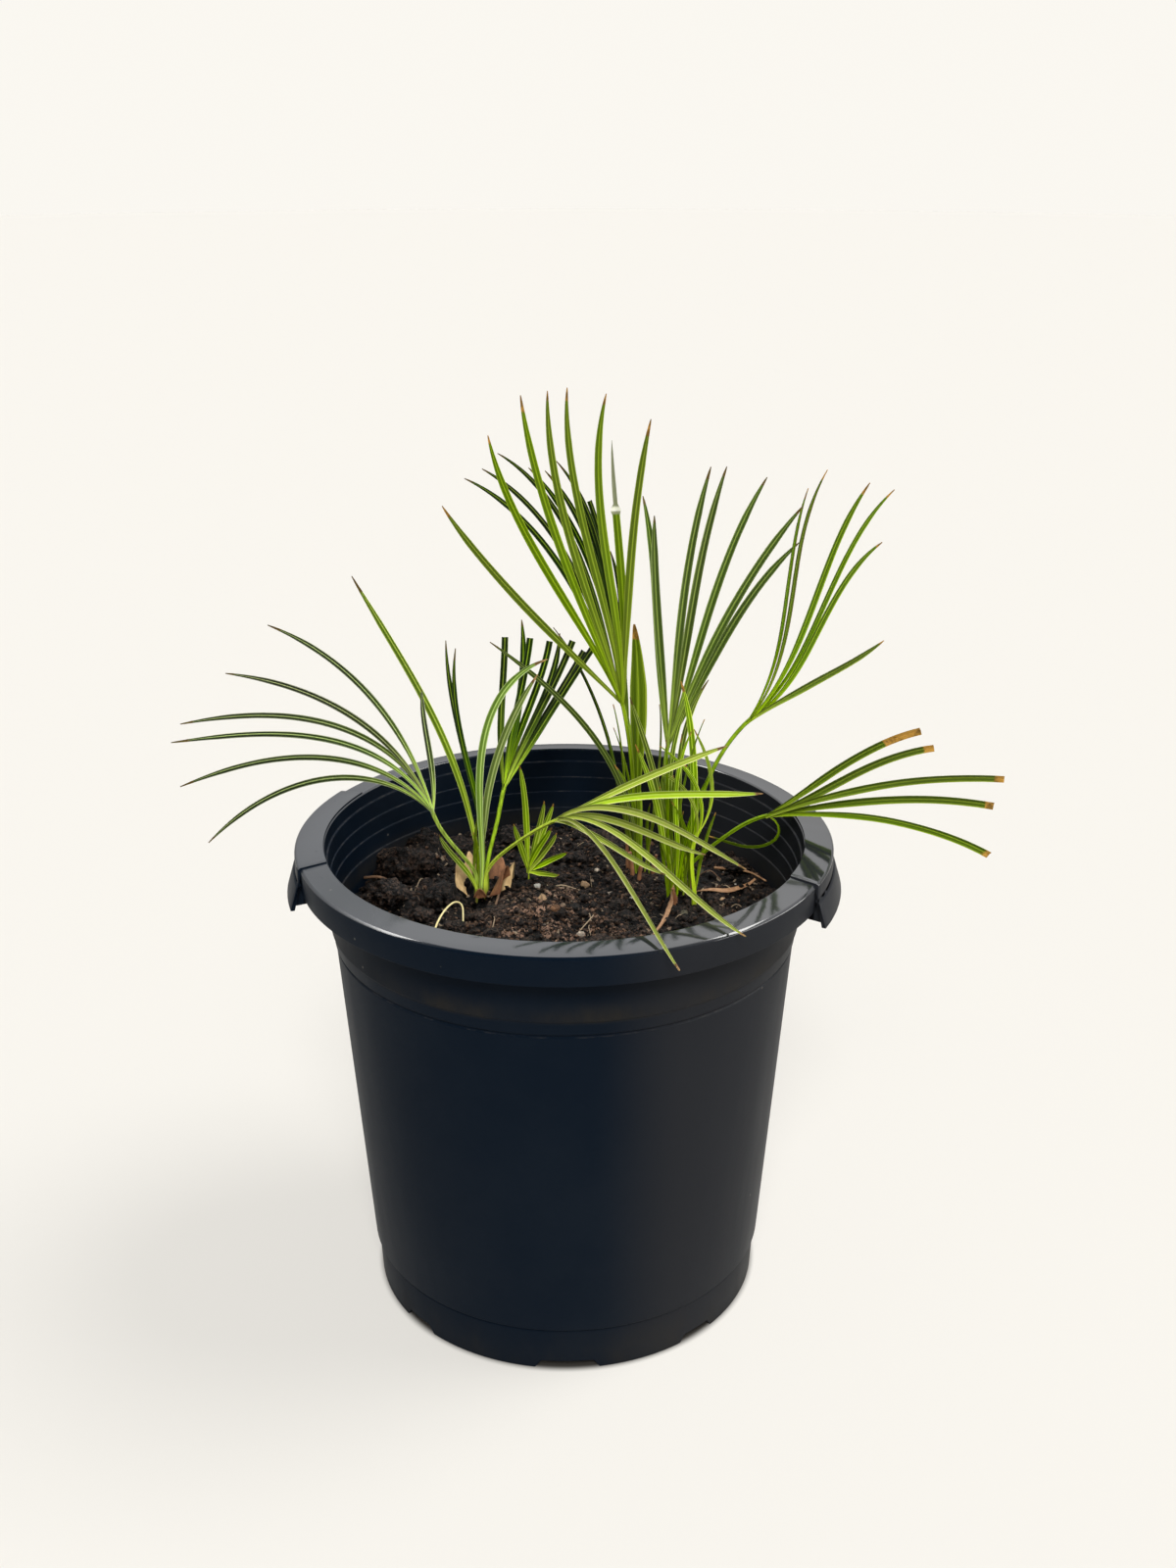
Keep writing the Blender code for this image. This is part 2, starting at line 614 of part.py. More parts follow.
def build_husk(soil, parts):
    """The dry base of an old leaf: a ragged sheath behind the left plant's stems."""
    bm = bmesh.new()
    arcs = 9
    rows = []
    for level in range(3):
        row = []
        for step in range(arcs + 1):
            turn = math.radians(10 + 150 * step / arcs)
            ragged = 1.0 + 0.25 * math.sin(3.1 * step)
            height = HUSK_LEVELS[level] * (ragged if level else 1.0)
            radius = HUSK_R + 0.35 * HUSK_LEVELS[level]
            x = HUSK_PLACE[0] + radius * math.cos(turn)
            y = HUSK_PLACE[1] + radius * math.sin(turn)
            row.append(bm.verts.new((x, y, ground_under(soil, x, y) + height)))
        rows.append(row)
    for low, high in zip(rows, rows[1:]):
        for first in range(arcs):
            bm.faces.new((low[first], low[first + 1], high[first + 1], high[first]))
    made = add_object("husk_left", bm, parts)
    shell = made.modifiers.new("Thickness", "SOLIDIFY")
    shell.thickness = 0.9 * MM
    shell.offset = 0
    finish_object(made, "husk_fibre", STRAW, 0.8)


def build_litter(title, piece, soil, parts):
    """A flat strip or thin root laid over the soil along a few points."""
    points = [Vector(point) for point in piece["points"]]
    rings = []
    steps = 3 * (len(points) - 1)
    for step in range(steps + 1):
        place = step / 3
        index = min(int(place), len(points) - 2)
        spot = points[index].lerp(points[index + 1], place - index)
        along = (points[index + 1] - points[index]).normalized()
        side = Vector((-along.y, along.x, 0)).normalized()
        taper = 0.45 + 0.55 * math.sin(math.pi * (0.12 + 0.76 * step / steps))
        wide = piece["half"] * taper
        near = [spot + side * (wide * shift) for shift in (-1, 0, 1)]
        ground = max(ground_under(soil, place.x, place.y) for place in near)
        rise = Vector((0, 0, 0.55))
        middle = Vector((spot.x, spot.y, ground + spot.z + GAP)) + rise
        rings.append([middle - side * wide, middle + rise, middle + side * wide, middle - rise])
    made = lofted(title, rings, parts)
    finish_object(made, f"litter_{title}", piece["colour"], 0.8)


def main():
    clear_scene()
    parts = new_collection(NAME)
    cutters = new_collection("cutters")
    build_pot(parts, cutters)
    soil = build_soil(parts, cutters)
    for title, fan in FANS.items():
        build_fan(title, fan, parts)
    build_husk(soil, parts)
    for title, piece in LITTER.items():
        build_litter(title, piece, soil, parts)


main()
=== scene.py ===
"""Looks of the potted paurotis palm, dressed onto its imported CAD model.

Sizes in the tables are millimetres and MM turns them into metres. The frame is the CAD's: the origin is
the middle of the pot's foot, +Z is up and -Y is the front.
"""
import json
import math
import random

import bmesh
import bpy
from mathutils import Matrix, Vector, noise

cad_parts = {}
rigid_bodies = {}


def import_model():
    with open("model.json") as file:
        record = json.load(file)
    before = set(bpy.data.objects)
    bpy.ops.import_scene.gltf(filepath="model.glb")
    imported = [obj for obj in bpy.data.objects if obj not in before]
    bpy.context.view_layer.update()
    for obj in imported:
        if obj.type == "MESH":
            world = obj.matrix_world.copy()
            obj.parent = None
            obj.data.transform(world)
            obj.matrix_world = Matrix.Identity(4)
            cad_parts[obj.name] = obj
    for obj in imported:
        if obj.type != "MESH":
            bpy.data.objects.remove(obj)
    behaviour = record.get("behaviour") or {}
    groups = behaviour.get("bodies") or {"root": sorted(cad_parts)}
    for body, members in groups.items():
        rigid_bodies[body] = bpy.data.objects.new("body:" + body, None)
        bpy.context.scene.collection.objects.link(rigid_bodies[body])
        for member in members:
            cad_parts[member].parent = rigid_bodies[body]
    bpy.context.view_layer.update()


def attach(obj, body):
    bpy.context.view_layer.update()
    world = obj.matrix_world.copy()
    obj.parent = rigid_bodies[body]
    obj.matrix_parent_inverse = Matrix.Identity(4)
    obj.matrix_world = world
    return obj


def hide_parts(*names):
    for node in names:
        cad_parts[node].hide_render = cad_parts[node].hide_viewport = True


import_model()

MM = 0.001

# Pot
RIM_R = 140.0
RIM_TOP_Z = 262.1
RIM_EDGE_Z = 260.3
MOUTH_R = 125.6
FOOT_R = 106.0
POT_STEPS = 192
DRAIN_HOLES = 8
DRAIN_HOLE_R = 7.0
DRAIN_RING_R = 86.5
# Steps of the inner wall: height, radius below and radius above
LEDGES = ((226.2, 121.0, 121.9), (236.2, 122.1, 122.9), (245.0, 123.1, 123.9), (254.6, 124.2, 125.3))
NOTCH_H = 5.3
# Turn and width in degrees, widest at the floor
NOTCHES = ((0.0, 19.0), (90.0, 19.0), (180.0, 19.0), (270.0, 19.0),
           (41.0, 13.0), (131.0, 13.0), (221.0, 13.0), (311.0, 13.0))
HANDLE_TURNS = (85.0, -95.0)
HANDLE_HALF = 22.0
HANDLE_STEPS = 28
SKIRT_CUT = ((128.0, 236.0), (128.0, 257.2), (142.0, 257.2), (142.0, 236.0))

# Soil
SOIL_Z = 216.0
SOIL_R = 118.9
SOIL_ROUGH = 2.6
SOIL_RINGS = 140
SOIL_SPOKES = 460
# Below this height the soil's points get full painted shade
SOIL_FULL_SHADE_Z = 207.0
CRUMB_LIFT = 0.15
# Radius and height of the rings below the surface, down to the pot's floor
SOIL_SIDES = ((SOIL_R, SOIL_Z - 6.0), (118.5, 205.0), (105.7, 26.0), (103.6, 8.95), (69.1, 8.95),
              (66.5, 2.95))
# Bumps of the CAD's surface: middle, height and reach
SOIL_CLODS = (
    (-80, 72, 13, 15), (-70, 22, 9, 9), (-92, 10, 8, 12), (-100, 52, 6, 9), (-30, -34, 5, 22),
    (-2, -8, 9, 30), (-30, 92, 7, 16), (24, 78, 5, 18), (34, -62, 4, 26), (92, 52, 4, 14),
    (-48, 13, -8, 10), (26, 30, -4, 14),
)
# Small pits: middle, depth and reach
SOIL_PITS = ((-47, 22, 6.0, 7.5), (-78, 38, 3.0, 6.0), (-58, 24, 4.0, 6.0), (48, -8, 3.0, 12.0))
# Middle of the browner mound, in metres, and the middles and reach of the bits on it
MOUND = (-0.006, -0.016, 0.222)
MOUND_MIDDLES = ((-12, -14, 17), (6, -24, 18), (24, -40, 16), (30, 8, 18), (6, 66, 18), (-34, -22, 12))
# Big lumps: middle, radius and flatness
CLODS = (
    (-88, 47, 14.0, 1.0), (-66, 10, 11.0, 1.0), (-94, 6, 9.5, 0.75), (-76, -7, 6.0, 0.85),
    (-58, -22, 6.0, 0.60), (-104, 30, 7.0, 0.50), (-100, 62, 9.0, 0.50), (-62, 78, 9.0, 0.55),
    (-26, 86, 9.0, 0.50), (14, 96, 9.0, 0.50), (-36, -8, 6.5, 0.45), (20, -44, 8.0, 0.45),
    (38, -66, 8.0, 0.40), (84, -8, 7.0, 0.45), (96, 50, 8.0, 0.45), (66, 78, 8.0, 0.50), (28, 4, 6.0, 0.40),
)
# Stones by colour: middle and radius
PEBBLES = (
    ((0.50, 0.33, 0.19), ((-12, 3, 2.4), (11, 28, 2.6), (86, 12, 1.4), (-30, 62, 1.6))),
    ((0.62, 0.52, 0.42), ((25, 26, 2.2), (8, -37, 1.9), (-42, -34, 1.3), (18, 52, 1.5), (46, -30, 1.1))),
    ((0.12, 0.11, 0.075), ((63, -4, 3.0), (-20, -58, 2.2), (76, 46, 2.4))),
    ((0.80, 0.77, 0.70), ((-15, 27, 1.7), (-11, -31, 1.3), (10, 10, 0.9), (36, 13, 0.9), (-86, 58, 1.2),
                          (-56, 40, 1.0), (2, 44, 0.9))),
    ((0.22, 0.115, 0.06), ((-5, -21, 2.6), (50, 88, 2.4), (-76, -9, 2.2))),
)
# Stalks: radius, and a route of places with their height over the soil
TWIGS = (
    (0.9, ((-112, 42, 0.6), (-102, 37, 1.4), (-93, 34, 0.4))),
    (0.85, ((-35, 36, 2.0), (-36, 24, 1.6), (-37, 12, 1.0), (-38, 2, 0.2))),
    (0.45, ((74, 42, 0.4), (81, 41, 1.2), (87, 38, 0.4))),
    (0.5, ((-20, -40, 0.0), (-12, -47, 1.4), (-3, -50, 0.0))),
)
ROOTLETS = (
    (0.42, ((-11, 20, 0.3), (-2, 17, 1.2), (8, 16, 0.3))),
    (0.34, ((-38, -11, 0.2), (-37, -20, 1.6), (-38, -29, 0.2))),
    (0.30, ((-77, 34, 0.4), (-79, 28, 2.6), (-82, 21, 0.2))),
    (0.28, ((-70, 7, 0.6), (-66, 0, 1.8), (-62, -6, 0.2))),
    (0.30, ((8, -30, 0.2), (14, -25, 1.6), (16, -18, 0.2))),
    (0.28, ((70, -34, 0.2), (74, -28, 1.4), (75, -22, 0.2))),
)

# Dry leaf bases and litter
HUSK_PLACE = (-46, 33)
# Turns of a scale's two sides, its height, its radius at foot and top, and its look
HUSK_SCALES = (
    (-160, -62, 12.0, 8.5, 14.5, "pale"), (28, 84, 16.0, 8.0, 17.5, "red"),
    (50, 118, 14.0, 9.5, 18.5, "pale"), (100, 190, 14.0, 9.0, 16.0, "red"),
    (-40, 30, 5.0, 6.5, 9.0, "red"), (-178, -120, 15.0, 9.0, 14.0, "pale"),
)
HUSK_ROWS = 9
HUSK_STEPS = 14
HUSK_SINK = 3.0
FRONT_LEAF_ROUTE = ((59, 20, 6.0), (58, 10, 1.2), (56, -2, 0.6), (53, -14, 0.4), (48, -28, 0.3),
                    (43, -42, 0.2))
SIDE_LEAF_ROUTE = ((70, 20, 0.4), (80, 22, 0.6), (90, 24, 0.8), (101, 30, 0.8), (106, 34, 1.2))
STALK_ROUTE = ((84, 46, 0.3), (95, 45, 1.0), (104, 42, 0.8), (112, 34, 0.3))
ROOT_ROUTE = ((-69, -22, -1.0), (-67, -16, 2.2), (-64, -9, 4.8), (-60, -4, 6.6), (-56.5, -4, 6.9),
              (-54.5, -7, 5.2), (-54, -12, 2.2), (-54, -16, -1.5))
# Middle, height and lean to the right
OLD_STUBS = ((38, 47, 12, -1.5), (42, 43, 8, 1.0), (36, 53, 15, -1.0), (50, 50, 9, 1.5), (47, 56, 13, 0.5),
             (60, 10, 7, -1.5), (68, 22, 9, 1.0), (58, 36, 8, -1.0))

# Leaves
CLUMPS = ((-46.0, 29.0), (60.0, 25.0), (41.0, 56.0), (-20.0, 37.0))
CLUMP_PULL = 0.62
CUT = "cut"
LAYER_LIFT = 0.06
LAYER_AXIS = Vector((0.0, -0.93, 0.37))
PLEAT_STEP = 0.35
ROOT_SINK = 4.0
NECK_SINK = 1.2
STEM_BOTTOM_Z = 188.3
STEM_COLLAR_Z = 222.0
STEM_HALF = 1.15
STEM_CORNERS = 14
SHORT_REACH = 6.0
BARE_LEAF_Z = 218.0
YOUNG_LEAF_Z = 215.0
# Steps between two rings of points on a blade
FINE_STEPS = 4

# Each leaf: its foot on the soil, the neck where its leaflets part, the turn and backward tilt of the
# plane they fan out in, their half width, and the leaflets. A leaflet gives its lean from upright at its
# root, middle and tip, in degrees, and its length. A fifth value replaces the plane's turn for that
# leaflet, and CUT at the end marks one that was trimmed square. Options: widths are shares of the half
# width by leaflet, dry and snapped give by index the share of the length where a leaflet dries or is
# snapped, brown_edges lists leaflets by index, and a flip of -1 puts the shaded side on the other hand.
FANS = {
    "frond_left_fan": dict(
        foot=(-53, 31), neck=(-71, 22, 265), turn=24, tilt=8, half=1.7, slot="leaf_mid", look="olive",
        leaflets=[(-37, -90, -129, 137), (-30, -78, -105, 147), (-20, -71, -90, 154), (-15, -66, -93, 159),
                  (-16, -50, -76, 143), (-11, -34, -63, 140), (13, -5, 5, 68)]),
    "frond_left_cut": dict(
        foot=(-39, 39), neck=(-33, 42, 271), turn=12, tilt=20, half=2.0, slot="leaf_dark", look="dark",
        leaflets=[(-5, 7, 5, 83, CUT), (14, 13, -3, 93), (8, 17, 11, 83, CUT), (13, 26, 14, 85, CUT),
                  (24, 29, 7, 91), (25, 32, 26, 89, CUT), (32, 36, 34, 88, CUT), (36, 37, 39, 91, CUT)]),
    "frond_left_arching": dict(
        foot=(-40, 27), neck=(-4, -6, 272), turn=-42, tilt=0, half=2.0, slot="leaf_mid", look="arching",
        leaflets=[(58, 62, 67, 100, -10), (52, 76, 78, 121, -28), (49, 88, 104, 132, -45),
                  (57, 94, 90, 94, -37), (58, 102, 95, 150, -53), (74, 92, 85, 92, -55),
                  (61, 99, 103, 166, -70)]),
    "frond_top_bright": dict(
        foot=(39, 59), neck=(32, 52, 316), turn=-12, tilt=6, half=2.3, slot="leaf_bright", look="bright",
        leaflets=[(-47, -46, -36, 146), (-25, -33, -13, 161), (-23, -22, -9, 171), (-17, -18, 0, 174),
                  (-6, -16, 2, 171), (0, -10, 13, 164), (5, -6, -3, 143), (2, 3, 11, 153)],
        snapped={6: 0.75}),
    "frond_top_dark": dict(
        foot=(46, 65), neck=(36, 76, 296), turn=-30, tilt=10, half=1.9, slot="leaf_dark", look="dark",
        leaflets=[(-24, -41, -75, 180), (-22, -36, -72, 175), (-24, -29, -72, 175), (-15, -27, -56, 160),
                  (-17, -22, -54, 152), (-22, -16, -54, 153), (-6, -20, -28, 127, CUT),
                  (-8, -16, -28, 126, CUT), (-14, -8, -29, 96)]),
    "frond_right_dark": dict(
        foot=(57, 29), neck=(56, 35, 298), turn=8, tilt=10, half=2.3, slot="leaf_mid", look="mid", flip=-1,
        leaflets=[(-8, -2, -11, 135), (-4, -3, 2, 123), (7, 8, 19, 148), (14, 11, 22, 153),
                  (20, 19, 34, 152), (22, 30, 43, 145), (30, 32, 51, 131)]),
    "frond_right_high": dict(
        foot=(66, 24), neck=(100, 45, 308), turn=20, tilt=4, half=2.1, slot="leaf_mid", look="vivid",
        leaflets=[(39, 9, 23, 131), (45, 9, 35, 142), (50, 22, 41, 142), (58, 27, 54, 151),
                  (67, 30, 63, 123), (61, 69, 61, 89)],
        widths=(0.62, 0.62, 1.0, 0.85, 1.0, 1.0), brown_edges=(0, 1)),
    "frond_right_low": dict(
        foot=(68, 14), neck=(108, 8, 268), turn=-12, tilt=-8, half=2.3, slot="leaf_mid", look="vivid",
        leaflets=[(52, 50, 71, 97, CUT), (65, 55, 78, 97, CUT), (62, 74, 90, 124, CUT),
                  (73, 81, 97, 120, CUT), (78, 96, 118, 120, CUT), (95, 255, 280, 56)],
        widths=(1.0, 1.0, 1.0, 1.0, 1.0, 0.42), dry={0: 0.80, 1: 0.95, 2: 0.975, 3: 0.972, 4: 0.985}),
    "frond_right_curled": dict(
        foot=(70, 7), neck=(71, 9, 257), turn=5, tilt=0, half=1.0, slot="leaf_pale", look="young",
        leaflets=[(38, -6, -27, 63), (25, -26, -56, 58, -10), (9, -38, -92, 49, -20), (22, -12, -33, 42, 8)]),
    "seedling": dict(
        foot=(-20, 37), neck=(-20, 37, 223), turn=0, tilt=-10, half=1.7, slot="leaf_mid", look="young",
        leaflets=[(-2, -2, -10, 69), (-9, -15, -13, 32), (3, 10, 4, 45, 25), (13, 19, 17, 46),
                  (13, 31, 30, 36, -25), (28, 34, 25, 30), (55, 61, 65, 25), (84, 90, 91, 18, -20)]),
}

# Leaves without a neck: foot, turn, half width, slot, look and leaflets
SINGLE_LEAVES = (
    ("leaf_left_tall", (-49, 38), -25, 2.2, "leaf_mid", "sheaf", [(5, -27, -34, 184)]),
    ("leaf_left_pair", (-44, 43), 15, 1.6, "leaf_dark", "dark", [(2, -12, 1, 140), (4, -12, 10, 135, 22)]),
    ("leaf_left_folded", (-47, 29), -20, 2.2, "leaf_pale", "pale", [(9, 6, 69, 150)]),
    ("leaf_left_pale", (-42, 33), -20, 2.2, "leaf_pale", "pale", [(-9, 14, 33, 131)]),
    ("leaf_left_stub", (-52, 25), 15, 1.6, "leaf_mid", "sheaf", [(-10, -30, -11, 38)]),
    ("leaf_right_thin", (37, 50), -2, 1.7, "leaf_bright", "mid", [(11, -33, -54, 162)]),
    ("leaf_right_slim", (34, 59), -42, 1.2, "leaf_dark", "dark", [(0, -20, -53, 144)]),
    ("spear_leaf", (45, 46), 0, 4.6, "leaf_bright", "bright", [(-10, 0, -7, 145)]),
    ("leaf_sheaf_1", (55, 20), -25, 2.0, "leaf_mid", "sheaf", [(8, -13, -22, 113)]),
    ("leaf_sheaf_2", (54, 12), 5, 1.6, "leaf_mid", "young", [(3, -10, -24, 92)]),
    ("leaf_sheaf_3", (61, 25), 10, 1.6, "leaf_dark", "sheaf", [(-5, -1, 25, 110)]),
    ("leaf_sheaf_4", (64, 9), 10, 1.4, "leaf_dark", "young", [(-1, -4, 28, 99)]),
    ("leaf_sheaf_5", (65, 33), 15, 1.7, "leaf_dark", "sheaf", [(0, 0, 37, 120)]),
    ("leaf_sheaf_6", (74, 18), 0, 2.0, "leaf_bright", "young", [(-10, -2, -17, 123)]),
)
SINGLE_KEYS = ("foot", "turn", "half", "slot", "look", "leaflets")
PLEATS = {"spear_leaf": 5}

# Light and camera
WORLD_LEVEL = 0.30
WORLD_LEAN = (0.12, -0.05, 0.0)
KEY_FROM = (0.85, 0.10, 1.2)
KEY_ENERGY = 2.0
KEY_ANGLE = 30.0
FILL_FROM = (0.0, -1.0, 1.0)
FILL_ENERGY = 2.9
FILL_ANGLE = 20.0
LAMP_COLOUR = (1.0, 0.985, 0.96)
# Place, size and energy of the softboxes behind and beside
PANELS = (
    ("panel_right", (1.7, -0.15, 0.45), (1.6, 0.8), 30.0),
    ("panel_left", (-1.6, 0.10, 1.85), (0.7, 0.7), 26.0),
    ("panel_high", (1.5, 0.10, 1.85), (0.7, 0.7), 26.0),
)
FLOOR_R = 9.0
DOME_R = 8.8
GLOW_R = 8.6
GLOW_LEVELS = ((0.0, 0.3), (0.14, 0.65), (0.42, 1.35), (0.68, 2.6))
LENS = 40.5
CAMERA_AT = (0.0, -0.8554, 0.6322)
CAMERA_DOWN = 21.817
CAMERA_TURN = 0.832

# Leaf colours: root, middle, far part, dry tip and edge
GOLD = (0.48, 0.26, 0.05)
BROWN = (0.13, 0.095, 0.025)
TAN = (0.50, 0.31, 0.14)
# The near-black far colours of dark and olive partly paint the shade on folded outer halves; the edge colours
# paint the pale veins and the painted highlights on rib and edges.
# The young, sheaf and arching looks and the lighter roots are partly painted light, made lighter for blades
# low in the pot and blades turned from the lamps.
LEAF_COLOURS = {
    "bright": ((0.36, 0.52, 0.015), (0.185, 0.31, 0.002), (0.125, 0.215, 0.002), GOLD, (0.38, 0.50, 0.03)),
    "vivid": ((0.30, 0.46, 0.010), (0.120, 0.23, 0.002), (0.080, 0.145, 0.002), GOLD, (0.33, 0.44, 0.03)),
    "mid": ((0.42, 0.60, 0.05), (0.095, 0.175, 0.012), (0.060, 0.112, 0.012), BROWN, (0.33, 0.41, 0.13)),
    "dark": ((0.66, 0.95, 0.05), (0.105, 0.215, 0.006), (0.009, 0.024, 0.001), BROWN, (0.09, 0.15, 0.025)),
    "pale": ((0.74, 0.95, 0.16), (0.34, 0.51, 0.09), (0.21, 0.33, 0.055), TAN, (0.78, 0.89, 0.45)),
    "olive": ((0.74, 1.0, 0.16), (0.075, 0.125, 0.008), (0.010, 0.020, 0.001), BROWN, (0.62, 0.66, 0.46)),
    "arching": ((0.74, 0.93, 0.10), (0.58, 0.78, 0.055), (0.50, 0.68, 0.05), TAN, (0.98, 1.0, 0.46)),
    "young": ((0.74, 0.95, 0.05), (0.42, 0.66, 0.008), (0.21, 0.36, 0.005), GOLD, (0.88, 1.0, 0.18)),
    "sheaf": ((0.74, 0.95, 0.07), (0.33, 0.52, 0.016), (0.11, 0.19, 0.009), BROWN, (0.78, 0.92, 0.22)),
}

# Crowded young blades: middle, reach, count, lengths and leans
YOUNG_LEAVES = (
    ("young_leaves_left", (-46, 34), 6.0, 7, (26, 64), (-16, 16)),
    ("young_leaves_right", (64, 18), 8.5, 15, (48, 112), (-13, 15)),
    ("young_leaves_back", (42, 55), 8.0, 9, (40, 100), (-12, 12)),
)

# Shares of the half width where a blade has a row of points
FLAT_ACROSS = (-1.0, -0.82, -0.5, -0.06, 0.06, 0.5, 0.82, 1.0)


def new_collection(title):
    group = bpy.data.collections.new(title)
    bpy.context.scene.collection.children.link(group)
    return group


PIECES = new_collection("pieces")


def add_object(title, mesh, group=PIECES):
    made = bpy.data.objects.new(title, mesh)
    group.objects.link(made)
    return made


def from_bmesh(title, bm, scale=MM, group=PIECES):
    """Turn a bmesh in millimetres, or in metres with a scale of 1, into an object in metres."""
    bmesh.ops.scale(bm, verts=bm.verts, vec=(scale, scale, scale))
    mesh = bpy.data.meshes.new(title)
    bm.to_mesh(mesh)
    bm.free()
    return add_object(title, mesh, group)


def from_lists(title, points, faces, look):
    """Turn points in millimetres and faces into an object in metres."""
    mesh = bpy.data.meshes.new(title)
    mesh.from_pydata([point * MM for point in points], [], faces)
    made = add_object(title, mesh)
    mesh.materials.append(look)
    return made


def bake(made):
    """Replace an object's mesh by the result of its modifiers."""
    graph = bpy.context.evaluated_depsgraph_get()
    mesh = bpy.data.meshes.new_from_object(made.evaluated_get(graph))
    made.modifiers.clear()
    made.data = mesh


def boolean(made, operation, group):
    """Cut a collection's objects from an object, or join them to it, and discard them."""
    cut = made.modifiers.new(operation.title(), "BOOLEAN")
    cut.operation = operation
    cut.operand_type = "COLLECTION"
    cut.collection = group
    cut.solver = "EXACT"
    bake(made)
    for item in list(group.objects):
        bpy.data.objects.remove(item)
    bpy.data.collections.remove(group)


def smooth(made, degrees):
    made.data.shade_smooth()
    made.data.set_sharp_from_angle(angle=math.radians(degrees))


def dress(made, node=None):
    """Hand a piece to the frame, in a node's place where one is named."""
    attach(made, "root")
    if node:
        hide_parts(node)


def polar(radius, degrees, height):
    """A point by radius and turn, where 0 is the front (-Y) and 90 is the right (+X)."""
    turn = math.radians(degrees)
    return Vector((radius * math.sin(turn), -radius * math.cos(turn), height))


class Nodes:
    """The node tree of a material or the world, with short calls that add nodes and link them."""

    def __init__(self, owner, shader="Principled BSDF"):
        owner.use_nodes = True
        self.owner = owner
        self.tree = owner.node_tree
        self.shader = self.tree.nodes[shader]

    def add(self, kind, **settings):
        made = self.tree.nodes.new(f"ShaderNode{kind}")
        for name, value in settings.items():
            setattr(made, name, value)
        return made

    def feed(self, socket, value):
        """Link an output, or set a plain value."""
        if isinstance(value, bpy.types.NodeSocket):
            self.tree.links.new(value, socket)
        else:
            socket.default_value = value

    def fill(self, made, **values):
        """Feed a node's inputs, named with underscores for spaces."""
        for name, value in values.items():
            self.feed(made.inputs[name.replace("_", " ")], value)
        return made

    def set(self, **values):
        """Feed the shader's own inputs."""
        self.fill(self.shader, **values)

    def math(self, operation, first, second=0.5):
        made = self.add("Math", operation=operation)
        self.feed(made.inputs[0], first)
        self.feed(made.inputs[1], second)
        return made.outputs[0]

    def times(self, first, second):
        return self.math("MULTIPLY", first, second)

    def plus(self, first, second):
        return self.math("ADD", first, second)

    def minus(self, first, second):
        return self.math("SUBTRACT", first, second)

    def vector(self, operation, first, second=(0.0, 0.0, 0.0)):
        """An operation on two places that gives a single value."""
        made = self.add("VectorMath", operation=operation)
        self.feed(made.inputs[0], first)
        self.feed(made.inputs[1], second)
        return made.outputs["Value"]

    def parts(self, value, kind="Color"):
        """The three channels of a colour, or of a place with XYZ."""
        made = self.add(f"Separate{kind}")
        self.feed(made.inputs[0], value)
        return made.outputs[0], made.outputs[1], made.outputs[2]

    def ease(self, value, low, high, to_low=0.0, to_high=1.0, kind="SMOOTHSTEP"):
        """A value taken from one range to another and held at its ends."""
        made = self.add("MapRange", clamp=True, interpolation_type=kind)
        self.fill(made, Value=value, From_Min=low, From_Max=high, To_Min=to_low, To_Max=to_high)
        return made.outputs["Result"]

    def mix(self, share, first, second):
        made = self.add("Mix", data_type="RGBA")
        for index, value in ((0, share), (6, first), (7, second)):
            self.feed(made.inputs[index], value)
        return made.outputs[2]

    def ramp(self, value, stops):
        made = self.add("ValToRGB")
        self.feed(made.inputs["Fac"], value)
        points = made.color_ramp.elements
        while len(points) < len(stops):
            points.new(0.5)
        for point, (place, colour) in zip(points, stops):
            point.position = place
            point.color = colour
        return made.outputs["Color"]

    def noise(self, place, scale, detail=4.0, roughness=0.55):
        made = self.add("TexNoise")
        return self.fill(made, Vector=place, Scale=scale, Detail=detail, Roughness=roughness).outputs["Fac"]

    def voronoi(self, place, scale):
        return self.fill(self.add("TexVoronoi"), Vector=place, Scale=scale).outputs

    def place(self, *stretch):
        """Object coordinates, which are the frame's own, stretched along its axes."""
        found = self.add("TexCoord").outputs["Object"]
        if not stretch:
            return found
        return self.fill(self.add("Mapping"), Vector=found, Scale=stretch).outputs["Vector"]

    def attribute(self, name):
        return self.add("Attribute", attribute_name=name, attribute_type="GEOMETRY").outputs

    def bump(self, height, distance, strength, below=None):
        made = self.fill(self.add("Bump"), Height=height, Distance=distance, Strength=strength)
        if below is not None:
            self.feed(made.inputs["Normal"], below)
        return made.outputs["Normal"]


def new_material(title):
    return Nodes(bpy.data.materials.new(title))


def blend(first, second, share):
    """A mix of two plain colours."""
    return tuple((1 - share) * a + share * b for a, b in zip(first[:3], second[:3])) + (1,)


def shaded(colour, share):
    """A plain colour made darker or lighter."""
    return tuple(min(1.0, share * value) for value in colour[:3]) + (1,)


def pot_dust(n, height):
    """How dusty the wall is: under its collar and low down, smeared by noise."""
    collar = n.times(n.ease(height, 0.232, 0.219), n.ease(height, 0.2155, 0.2185))
    low = n.ease(height, 0.034, 0.004)
    smear = n.ease(n.noise(n.place(1.0, 1.0, 0.5), 24.0, 5.0, 0.65), 0.38, 0.72)
    dust = n.plus(n.times(collar, 0.55), n.times(low, 0.3))
    return n.times(dust, n.plus(n.times(smear, 0.8), 0.2))


